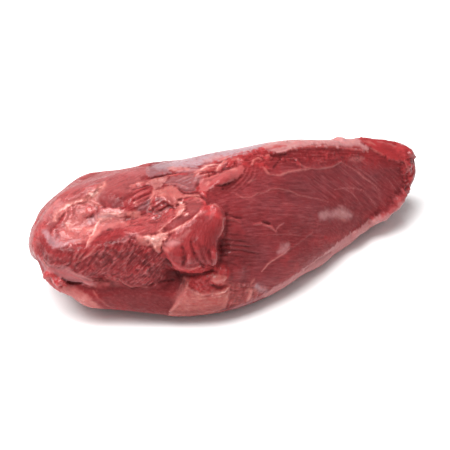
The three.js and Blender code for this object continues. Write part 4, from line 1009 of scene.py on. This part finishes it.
def point_from_side(tree, side, x, y):
    """The point that lies so many millimetres along and up, or along and across, seen from a hidden side."""
    if side == "back":
        origin, aim = Vector((x * MM, BEHIND, y * MM)), Vector((0, -1, 0))
    else:
        origin, aim = Vector((x * MM, y * MM, BELOW)), Vector((0, 0, 1))
    return tree.ray_cast(origin, aim)[0] or tree.find_nearest(origin + aim * MOVED_IN)[0]


def traced(tree, places, side="photo"):
    """The places joined by straight lines as they are seen, laid on the surface as evenly spaced points."""
    unit = VIEW_DISTANCE / FOCAL_PIXELS if side == "photo" else MM
    points = []
    for (x0, y0), (x1, y1) in zip(places, places[1:]):
        steps = max(1, round(math.hypot(x1 - x0, y1 - y0) * unit / PATH_STEP))
        points += [(x0 + (x1 - x0) * i / steps, y0 + (y1 - y0) * i / steps) for i in range(steps)]
    points.append(places[-1])
    if side == "photo":
        return [point_in_photo(tree, x, y) for x, y in points]
    return [point_from_side(tree, side, x, y) for x, y in points]


# The cut

def linked(name, data):
    """A new object in the scene."""
    thing = bpy.data.objects.new(name, data)
    bpy.context.scene.collection.objects.link(thing)
    return thing


def merged_copy(node, name):
    """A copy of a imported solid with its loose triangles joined."""
    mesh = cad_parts[node].data.copy()
    mesh.name = name
    form = bmesh.new()
    form.from_mesh(mesh)
    bmesh.ops.remove_doubles(form, verts=form.verts, dist=0.01 * MM)
    form.to_mesh(mesh)
    form.free()
    mesh.materials.clear()
    return linked(name, mesh)


def apply_modifiers(piece):
    graph = bpy.context.evaluated_depsgraph_get()
    mesh = bpy.data.meshes.new_from_object(piece.evaluated_get(graph))
    piece.modifiers.clear()
    piece.data = mesh


def search_tree(mesh):
    return BVHTree.FromPolygons([v.co for v in mesh.vertices], [tuple(p.vertices) for p in mesh.polygons])


def facing_camera(place, normal):
    """1 for a surface that looks straight at the camera, 0 for one seen edge on."""
    back = view_axes()[2]
    to_camera = VIEW_TARGET + back * VIEW_DISTANCE - place
    return normal.dot(to_camera.normalized())


def rounded_forms(tree, forms):
    """Rounded lumps laid out in the photograph, as one mesh."""
    mesh = bpy.data.meshes.new("rounded_forms")
    shape = bmesh.new()
    axes = Matrix(view_axes()).transposed()
    for _, middle, level, behind, radii, lean in forms:
        origin = photo_ray(*level)[0]
        far = (point_in_photo(tree, *level) - origin).length + behind * MM
        centre = Matrix.Translation(origin + photo_ray(*middle)[1] * far)
        turn = (axes @ Matrix.Rotation(math.radians(-lean), 3, "Z")).to_4x4()
        size = Matrix.Diagonal((*(r * MM for r in radii), 1))
        bmesh.ops.create_icosphere(shape, subdivisions=3, radius=1, matrix=centre @ turn @ size)
    shape.to_mesh(mesh)
    shape.free()
    return mesh


def cut_and_joined(piece):
    """Takes the rounded cuts out of the piece and joins the rounded lumps to it."""
    tree = search_tree(piece.data)
    cutter = linked("cutter", rounded_forms(tree, CUTS))
    cutting = piece.modifiers.new("Cut away", "BOOLEAN")
    cutting.operation = "DIFFERENCE"
    cutting.solver = "EXACT"
    cutting.object = cutter
    apply_modifiers(piece)
    bpy.data.objects.remove(cutter)
    form = bmesh.new()
    form.from_mesh(piece.data)
    form.from_mesh(rounded_forms(tree, LUMPS))
    form.to_mesh(piece.data)
    form.free()


def fine_skin(piece, settings):
    """Rounds off the facets and gives the piece an even mesh, twice as fine on the side that shows."""
    rounding = piece.modifiers.new("Round facets", "SUBSURF")
    rounding.levels = rounding.render_levels = 1
    remesh = piece.modifiers.new("Even mesh", "REMESH")
    remesh.mode = "VOXEL"
    remesh.voxel_size = settings.mesh_step
    apply_modifiers(piece)
    form = bmesh.new()
    form.from_mesh(piece.data)
    form.normal_update()
    shown = [f for f in form.faces if facing_camera(f.calc_center_median(), f.normal) > FINE_FACING]
    edges = {edge for face in shown for edge in face.edges}
    bmesh.ops.subdivide_edges(form, edges=list(edges), cuts=1, use_grid_fill=True)
    form.to_mesh(piece.data)
    form.free()
    smooth = piece.modifiers.new("Smooth facets", "SMOOTH")
    smooth.factor = 0.5
    smooth.iterations = settings.rounding
    apply_modifiers(piece)


def stepped(cover):
    """The same share from 0 to 1, eased in and out."""
    return cover * cover * (3 - 2 * cover)


def lengths(rows):
    return np.linalg.norm(rows, axis=1)


def dots(first, second):
    """The dot product of each row of one table with the same row of the other."""
    return np.einsum("ij,ij->i", first, second)


class Surface:
    """The piece's points while it is marked: where they are, which way they face, and their paint."""

    def __init__(self, mesh):
        count = len(mesh.vertices)
        self.mesh = mesh
        self.points = self.read(mesh.vertices, "co", 3)
        self.normals = self.read(mesh.vertices, "normal", 3)
        self.edges = self.read(mesh.edges, "vertices", 2, np.int64)
        self.degree = np.bincount(self.edges.ravel(), minlength=count)
        self.moved = self.points.copy()
        self.paint = {name: np.zeros(count) for name in PAINTS}
        self.tree = search_tree(mesh)
        self.ragged = sum(part * self.noise_at(size) for size, part in RAGGED_NOISE)
        self.patchy = self.noise_at(PATCHY_SIZE)
        self.drift = MM * sum(part * self.drift_at(size) for size, part in DRIFT_NOISE)
        self.pixels, self.aims, self.seen = self.photographed()

    @staticmethod
    def read(elements, name, width, kind=float):
        values = np.empty(len(elements) * width, dtype=kind)
        elements.foreach_get(name, values)
        return values.reshape(-1, width)

    def noise_at(self, size, drawn=1.0, way=(1, 0, 0), shift=0.0):
        """Noise from about -1 to 1 with lumps of one size in mm, drawn out so many times along one way."""
        turned = self.points @ np.array(turned_to_x(way).to_matrix()).T
        places = turned / (size * MM * np.array((drawn, 1, 1))) + shift
        return np.array([noise.noise(Vector(place)) for place in places])

    def drift_at(self, size):
        return np.stack([self.noise_at(size, shift=10 * axis) for axis in range(3)], 1)

    def photographed(self):
        """Each point's place in the photograph, its way to the camera, and how well it shows."""
        right, up, back = (np.array(axis) for axis in view_axes())
        camera = np.array(VIEW_TARGET) + back * VIEW_DISTANCE
        from_camera = self.points - camera
        depth = -from_camera @ back
        x = PHOTO_SIZE / 2 + FOCAL_PIXELS * (from_camera @ right) / depth
        y = PHOTO_SIZE / 2 - FOCAL_PIXELS * (from_camera @ up) / depth
        aims = -from_camera / lengths(from_camera)[:, None]
        facing = dots(self.normals, aims)
        seen = np.clip(facing / EDGE_FACING + 1, 0, 1)
        for i in np.nonzero(facing > TESTED_FACING)[0]:
            start = Vector(self.points[i] + self.normals[i] * JUST_ABOVE)
            if self.tree.ray_cast(start, Vector(aims[i]), TEST_LENGTH)[0] is not None:
                seen[i] = 0
        return np.stack([x, y], 1), aims, seen

    def spread_out(self, values, times):
        """Values averaged with their neighbours' a number of times."""
        first, second = self.edges.T
        columns = values.reshape(len(values), -1)
        for _ in range(times):
            total = columns.copy()
            for c in range(columns.shape[1]):
                total[:, c] += np.bincount(first, columns[second, c], len(values))
                total[:, c] += np.bincount(second, columns[first, c], len(values))
            columns = total / (self.degree + 1)[:, None]
        return columns.reshape(values.shape)

    def near(self, path, reach):
        path = np.array(path)
        inside = (self.points > path.min(0) - reach) & (self.points < path.max(0) + reach)
        return np.nonzero(inside.all(1))[0]

    def measured(self, path, chosen, waviness):
        """Each point's distance from the path, how far along it is nearest, and on which side it lies."""
        wavy = self.points[chosen] + waviness * self.drift[chosen]
        tree = KDTree(len(path))
        for i, place in enumerate(path):
            tree.insert(place, i)
        tree.balance()
        found = [tree.find(place) for place in wavy]
        index = np.array([f[1] for f in found])
        distance = np.array([f[2] for f in found])
        trail = np.array(path)
        heading = np.gradient(trail, axis=0) if len(trail) > 1 else np.zeros_like(trail)
        heading /= np.maximum(lengths(heading)[:, None], 1e-9)
        left = dots(np.cross(self.normals[chosen], heading[index]), wavy - trail[index])
        return distance, index / max(len(path) - 1, 1), left

    def paint_over(self, chosen, cover, effects):
        for name in PAINTS:
            if effects.get(name, 0) > 0:
                old = self.paint[name][chosen]
                self.paint[name][chosen] = np.maximum(old, effects[name] * cover)
            elif name in effects:
                self.paint[name][chosen] *= 1 + effects[name] * cover

    def push(self, chosen, rise, lift=0.0):
        """Moves points out along their normals and towards the camera, by so many millimetres."""
        self.moved[chosen] += MM * np.multiply(rise, self.normals[chosen].T).T
        self.moved[chosen] += MM * np.multiply(lift, self.aims[chosen].T).T

    def stroke(self, places, width, effects):
        """Lays a line. It tapers towards its ends, and wanders and frays as torn meat does."""
        path = traced(self.tree, places, effects.get("side", "photo"))
        half = width * MM / 2
        chosen = self.near(path, WIDEST * half + STRAY)
        if len(chosen) == 0:
            return
        waviness = min(1, width / WAVY_WIDTH)
        distance, along, left = self.measured(path, chosen, waviness)
        swell = np.sqrt(np.sin(math.pi * np.clip(along, END_PART, 1 - END_PART)))
        taper = END_WIDTH + (1 - END_WIDTH) * swell
        reach = half * taper * (1 + WIDTH_CHANGE * self.patchy[chosen])
        frayed = distance * (1 + FRAYING * waviness * self.ragged[chosen])
        if effects.get("firm"):
            cover = stepped(np.clip((FIRM_END * reach - frayed) / (FIRM_SOFTNESS * reach), 0, 1))
        else:
            cover = np.exp(-((frayed / reach) ** 2) * FALL_OFF)
        thinned = 1 + PATCHY_THINNING * self.patchy[chosen] + RAGGED_THINNING * self.ragged[chosen]
        cover = cover * np.clip(thinned, THINNEST, 1)
        bell = np.exp(-((distance / reach) ** 2) * FALL_OFF)
        self.push(chosen, effects.get("rise", 0) * bell, effects.get("lift", 0) * bell)
        if "ledge" in effects:
            side = np.clip(left / LEDGE_SLOPE, -1, 1) * 0.5 + 0.5
            fading = np.exp(-((distance / (LEDGE_REACH * reach)) ** 2))
            self.push(chosen, effects["ledge"] * side * fading)
        self.paint_over(chosen, cover, effects)

    def patch(self, outline, softness, effects):
        """Fills an outline drawn in the photograph. Its edge is as soft as the given number of pixels."""
        corners = np.array(outline, dtype=float)
        margin = 3 * softness + 3
        inside_box = (self.pixels > corners.min(0) - margin) & (self.pixels < corners.max(0) + margin)
        chosen = np.nonzero(inside_box.all(1) & (self.seen > 0))[0]
        place = self.pixels[chosen]
        nearest = np.full(len(chosen), 1e9)
        inside = np.zeros(len(chosen), dtype=bool)
        for start, end in zip(corners, np.roll(corners, -1, axis=0)):
            along = end - start
            part = np.clip(((place - start) @ along) / max(along @ along, 1e-9), 0, 1)
            nearest = np.minimum(nearest, lengths(place - start - part[:, None] * along))
            crosses = (start[1] > place[:, 1]) != (end[1] > place[:, 1])
            if end[1] != start[1]:
                at = start[0] + (place[:, 1] - start[1]) / (end[1] - start[1]) * along[0]
                inside ^= crosses & (place[:, 0] < at)
        fraying = AREA_FRAYING[0] + AREA_FRAYING[1] * softness
        depth = np.where(inside, nearest, -nearest) + self.ragged[chosen] * fraying
        cover = stepped(np.clip(depth / (2 * softness) + 0.5, 0, 1)) * self.seen[chosen]
        self.push(chosen, effects.get("rise", 0) * cover, effects.get("lift", 0) * cover)
        if "even" in effects:
            calmed = self.spread_out(self.moved, effects["even"])[chosen]
            self.moved[chosen] += cover[:, None] * (calmed - self.moved[chosen])
        self.paint_over(chosen, cover, effects)

    def roughen(self):
        """Strands with creases between them where it is torn, and fine ripples along the fibres elsewhere."""
        broken = sum(part * np.abs(self.noise_at(size, shift=BROKEN_SHIFT)) for size, part in BROKEN_NOISE)
        for name in STRAND_WAYS:
            way = FIBRE_WAYS[name]
            strands = sum(
                part * np.abs(self.noise_at(size, drawn, way)) for size, drawn, part in STRAND_NOISE
            )
            broken += self.paint[name] * (strands - broken)
        ripples = self.noise_at(RIPPLE_SIZE, RIPPLE_LENGTHS, FIBRE_WAYS["lengthwise"])
        everywhere = np.arange(len(self.points))
        torn = TORN_HEIGHT * self.paint["torn"] * (broken - TORN_MIDDLE)
        self.push(everywhere, torn + RIPPLE_HEIGHT * ripples)

    def paint_relief_shade_and_light(self, moved):
        """Paints the finished relief's creases as painted shade and its crests as painted light."""
        bend = sum(
            strength * dots(self.spread_out(moved, times) - moved, self.normals) / MM
            for times, strength in CREASE_LOOKS
        )
        bend = self.spread_out(bend, 1)
        self.paint["crease"] = np.clip(bend, 0, 1)
        self.paint["crest"] = np.clip(-bend, 0, 1)

    def store(self, relief):
        moved = self.points + relief * (self.moved - self.points)
        moved[:, 2] = np.maximum(moved[:, 2], 0)
        self.paint_relief_shade_and_light(moved)
        self.mesh.vertices.foreach_set("co", moved.ravel())
        for name, values in self.paint.items():
            layer = self.mesh.attributes.new(name, "FLOAT", "POINT")
            layer.data.foreach_set("value", np.clip(values, 0, 1).astype(np.float32))
        self.mesh.update()


# Finishes

class Net:
    """Lays out a material's nodes by short names."""

    def __init__(self, tree):
        self.nodes = tree.nodes
        self.links = tree.links

    def add(self, kind, inputs=None, **settings):
        node = self.nodes.new(kind)
        for name, value in settings.items():
            setattr(node, name, value)
        for name, value in (inputs or {}).items():
            socket = node.inputs[name]
            if isinstance(value, bpy.types.NodeSocket):
                self.links.new(value, socket)
            else:
                socket.default_value = value
        return node

    def maths(self, operation, first, second=0.0, clamp=False):
        inputs = {0: first, 1: second}
        return self.add("ShaderNodeMath", inputs, operation=operation, use_clamp=clamp).outputs[0]

    def mix(self, factor, first, second):
        colours = {0: factor, 6: first, 7: second}
        return self.add("ShaderNodeMix", colours, data_type="RGBA").outputs[2]

    def spread(self, value, low, high, to_low=0.0, to_high=1.0):
        ramp = {0: value, 1: low, 2: high, 3: to_low, 4: to_high}
        return self.add("ShaderNodeMapRange", ramp, interpolation_type="SMOOTHSTEP").outputs[0]

    def painted(self, name):
        return self.add("ShaderNodeAttribute", attribute_name=name).outputs["Fac"]

    def layered(self, base, layers, masks, colours):
        """A colour with layers of others over it, as MUSCLE_LAYERS describes them."""
        for follows, strength, kept_to, colour_name in layers:
            if isinstance(strength, tuple):
                cover = self.spread(masks[follows], *strength)
            else:
                cover = self.maths("MULTIPLY", masks[follows], strength)
            if kept_to:
                cover = self.maths("MULTIPLY", cover, masks[kept_to])
            base = self.mix(cover, base, colours[colour_name])
        return base


def solid(rgb):
    return (*rgb, 1.0)


def fibre_group():
    """Muscle fibres: noise drawn out along the vector's X, as light and dark threads."""
    group = bpy.data.node_groups.new("Muscle fibres", "ShaderNodeTree")
    face = group.interface
    face.new_socket("Vector", in_out="INPUT", socket_type="NodeSocketVector")
    face.new_socket("Length", in_out="INPUT", socket_type="NodeSocketFloat")
    face.new_socket("Pitch", in_out="INPUT", socket_type="NodeSocketFloat")
    face.new_socket("Threads", in_out="OUTPUT", socket_type="NodeSocketFloat")
    net = Net(group)
    entry = net.add("NodeGroupInput")
    along = net.maths("DIVIDE", 1.0, entry.outputs["Length"])
    across = net.maths("DIVIDE", 1.0, entry.outputs["Pitch"])
    scale = net.add("ShaderNodeCombineXYZ", {0: along, 1: across, 2: across})
    vectors = {0: entry.outputs["Vector"], 1: scale.outputs[0]}
    drawn = net.add("ShaderNodeVectorMath", vectors, operation="MULTIPLY")
    threads = net.add(
        "ShaderNodeTexNoise",
        {"Vector": drawn.outputs[0], "Scale": 1.0, "Detail": 3.0, "Roughness": 0.5, "Distortion": 0.5},
    )
    leave = net.add("NodeGroupOutput")
    net.links.new(threads.outputs["Fac"], leave.inputs["Threads"])
    return group


def fibre_threads(net, place, painted, settings):
    """Threads lengthwise and, where the paint of a way's name lies, along that way."""
    fibres = fibre_group()
    bundles = {}
    for name, way in FIBRE_WAYS.items():
        turned = net.add("ShaderNodeMapping", {"Vector": place, "Rotation": turned_to_x(way).to_euler()})
        bundle = net.add("ShaderNodeGroup", node_tree=fibres)
        net.links.new(turned.outputs[0], bundle.inputs["Vector"])
        bundle.inputs["Length"].default_value = settings.fibre_length
        bundle.inputs["Pitch"].default_value = settings.fibre_pitch
        bundles[name] = bundle.outputs["Threads"]
    threads = bundles.pop("lengthwise")
    for name, others in bundles.items():
        gap = net.maths("SUBTRACT", others, threads)
        threads = net.maths("ADD", threads, net.maths("MULTIPLY", gap, painted[name]))
    return threads


def fine_relief(net, masks):
    """The relief that is too fine for the mesh, for the Bump node."""
    height = net.maths("MULTIPLY", masks["threads"], THREAD_HEIGHT)
    height = net.maths("ADD", height, net.maths("MULTIPLY", masks["grain"], GRAIN_HEIGHT))
    crumbly = net.maths("MULTIPLY", masks["loose"], CRUMB_HEIGHT)
    height = net.maths("ADD", height, net.maths("MULTIPLY", masks["crumbs"], crumbly))
    height = net.maths("ADD", height, net.maths("MULTIPLY", masks["flecks"], FLECK_HEIGHT))
    return net.maths("MULTIPLY", height, net.spread(masks["wet"], 0.0, 1.0, 1.0, WET_RELIEF))


def meat_material(settings):
    material = bpy.data.materials.new("Raw beef")
    material.use_nodes = True
    tree = material.node_tree
    tree.nodes.clear()
    net = Net(tree)
    place = net.add("ShaderNodeTexCoord").outputs["Object"]
    masks = {name: net.painted(name) for name in PAINTS}
    masks["threads"] = fibre_threads(net, place, masks, settings)
    for name, (scale, detail, roughness) in NOISES.items():
        inputs = {"Vector": place, "Scale": scale, "Detail": detail, "Roughness": roughness}
        masks[name] = net.add("ShaderNodeTexNoise", inputs).outputs["Fac"]
    masks["loose"] = net.maths("ADD", masks["torn"], LOOSE_EVERYWHERE, clamp=True)
    broken = net.spread(masks["grain"], *GRAIN_RANGE, *EDGE_CHANGE)
    for name in ("silver", "fat"):
        frayed = net.maths("MULTIPLY", broken, masks[name])
        masks["ragged " + name] = net.maths("ADD", masks[name], frayed, clamp=True)

    colours = {name: solid(getattr(settings, name)) for name in BEEF_COLOURS}
    muscle = net.layered(colours["muscle"], MUSCLE_LAYERS, masks, colours)
    fat = net.layered(colours["fat"], FAT_LAYERS, masks, colours)
    covered = net.mix(masks["ragged fat"], muscle, fat)

    wetness = net.maths("MULTIPLY", masks["wet"], settings.wet_roughness - settings.dry_roughness)
    roughness = net.maths("ADD", wetness, settings.dry_roughness)
    varied = net.spread(masks["grain"], *GRAIN_RANGE, *ROUGHNESS_CHANGE)
    roughness = net.maths("ADD", roughness, varied, clamp=True)

    gloss = net.maths("MULTIPLY", masks["crest"], CREST_GLOSS)
    gloss = net.maths("ADD", gloss, net.maths("MULTIPLY", masks["wet"], WET_GLOSS))
    gloss = net.maths("ADD", gloss, GLOSS_EVERYWHERE, clamp=True)
    relief = {"Height": fine_relief(net, masks), "Strength": 0.7, "Distance": 0.7 * MM}

    beef = net.add(
        "ShaderNodeBsdfPrincipled",
        {
            "Base Color": covered,
            "Roughness": roughness,
            "Normal": net.add("ShaderNodeBump", relief).outputs[0],
            "Subsurface Weight": 0.12,
            "Subsurface Radius": (1.0, 0.3, 0.22),
            "Subsurface Scale": 1.3 * MM,
            "Specular IOR Level": 0.11,
            "Coat Weight": gloss,
            "Coat Roughness": 0.11,
        },
    )
    out = net.add("ShaderNodeOutputMaterial")
    net.links.new(beef.outputs[0], out.inputs["Surface"])
    return material


# Operators

class MEAT_OT_tender(bpy.types.Operator):
    """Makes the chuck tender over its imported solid: an even skin, torn and trimmed relief, and its paint"""

    bl_idname = "meat.tender"
    bl_label = "Chuck tender"

    def execute(self, context):
        settings = context.scene.tender_settings
        piece = merged_copy(CAD_NODE, "raw_chuck_tender")
        cut_and_joined(piece)
        fine_skin(piece, settings)
        surface = Surface(piece.data)
        lay = {"line": surface.stroke, "area": surface.patch}
        for kind, places, width, effects in ALL_MARKS:
            lay[kind](places, width, effects)
        surface.roughen()
        surface.store(settings.relief)
        for face in piece.data.polygons:
            face.use_smooth = True
        piece.data.materials.append(meat_material(settings))
        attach(piece, "root")
        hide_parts(CAD_NODE)
        return {"FINISHED"}


def soft_light(name, place, size, watts):
    data = bpy.data.lights.new(name, "AREA")
    data.shape = "SQUARE"
    data.size = size
    data.energy = watts
    light = linked(name, data)
    light.location = place
    light.rotation_euler = (Vector(LIT_PLACE) - Vector(place)).to_track_quat("-Z", "Y").to_euler()


class MEAT_OT_stage(bpy.types.Operator):
    """Lays the pale floor and sets the soft lights and the camera"""

    bl_idname = "meat.stage"
    bl_label = "Stage"

    def execute(self, context):
        settings = context.scene.stage_settings
        form = bmesh.new()
        bmesh.ops.create_grid(form, x_segments=1, y_segments=1, size=FLOOR_REACH)
        mesh = bpy.data.meshes.new("pale_floor")
        form.to_mesh(mesh)
        form.free()
        floor = linked("pale_floor", mesh)
        paint = bpy.data.materials.new("Pale floor")
        paint.use_nodes = True
        matt = paint.node_tree.nodes["Principled BSDF"]
        matt.inputs["Base Color"].default_value = solid(settings.floor)
        matt.inputs["Roughness"].default_value = 0.8
        matt.inputs["Specular IOR Level"].default_value = 0.1
        mesh.materials.append(paint)

        world = bpy.data.worlds.new("Even white light")
        world.use_nodes = True
        sky = world.node_tree.nodes["Background"]
        sky.inputs["Color"].default_value = (1, 1, 1, 1)
        sky.inputs["Strength"].default_value = settings.sky_strength
        context.scene.world = world
        context.scene.view_settings.view_transform = "Standard"

        soft_light("Key", KEY_PLACE, settings.light_size, settings.key_watts)
        for name, place in FILL_PLACES.items():
            soft_light(name, place, settings.light_size, settings.fill_watts)

        data = bpy.data.cameras.new("Camera")
        data.lens = LENS
        data.sensor_width = SENSOR_WIDTH
        data.clip_start = 0.01
        camera = linked("Camera", data)
        axes = view_axes()
        turn = Matrix(axes).transposed().to_4x4()
        camera.matrix_world = Matrix.Translation(VIEW_TARGET + axes[2] * VIEW_DISTANCE) @ turn
        context.scene.camera = camera
        return {"FINISHED"}


class MEAT_PT_sidebar(bpy.types.Panel):
    bl_label = "Chuck tender"
    bl_idname = "MEAT_PT_sidebar"
    bl_space_type = "VIEW_3D"
    bl_region_type = "UI"
    bl_category = "Chuck tender"

    def draw(self, context):
        for settings, operator in (
            (context.scene.tender_settings, MEAT_OT_tender),
            (context.scene.stage_settings, MEAT_OT_stage),
        ):
            box = self.layout.box()
            for name in settings.__annotations__:
                box.prop(settings, name)
            box.operator(operator.bl_idname)


CLASSES = (CutSettings, StageSettings, MEAT_OT_tender, MEAT_OT_stage, MEAT_PT_sidebar)


def register():
    for cls in CLASSES:
        bpy.utils.register_class(cls)
    bpy.types.Scene.tender_settings = bpy.props.PointerProperty(type=CutSettings)
    bpy.types.Scene.stage_settings = bpy.props.PointerProperty(type=StageSettings)


def unregister():
    del bpy.types.Scene.stage_settings
    del bpy.types.Scene.tender_settings
    for cls in reversed(CLASSES):
        bpy.utils.unregister_class(cls)


def main():
    register()
    bpy.ops.meat.tender()
    bpy.ops.meat.stage()


if __name__ == "__main__":
    main()
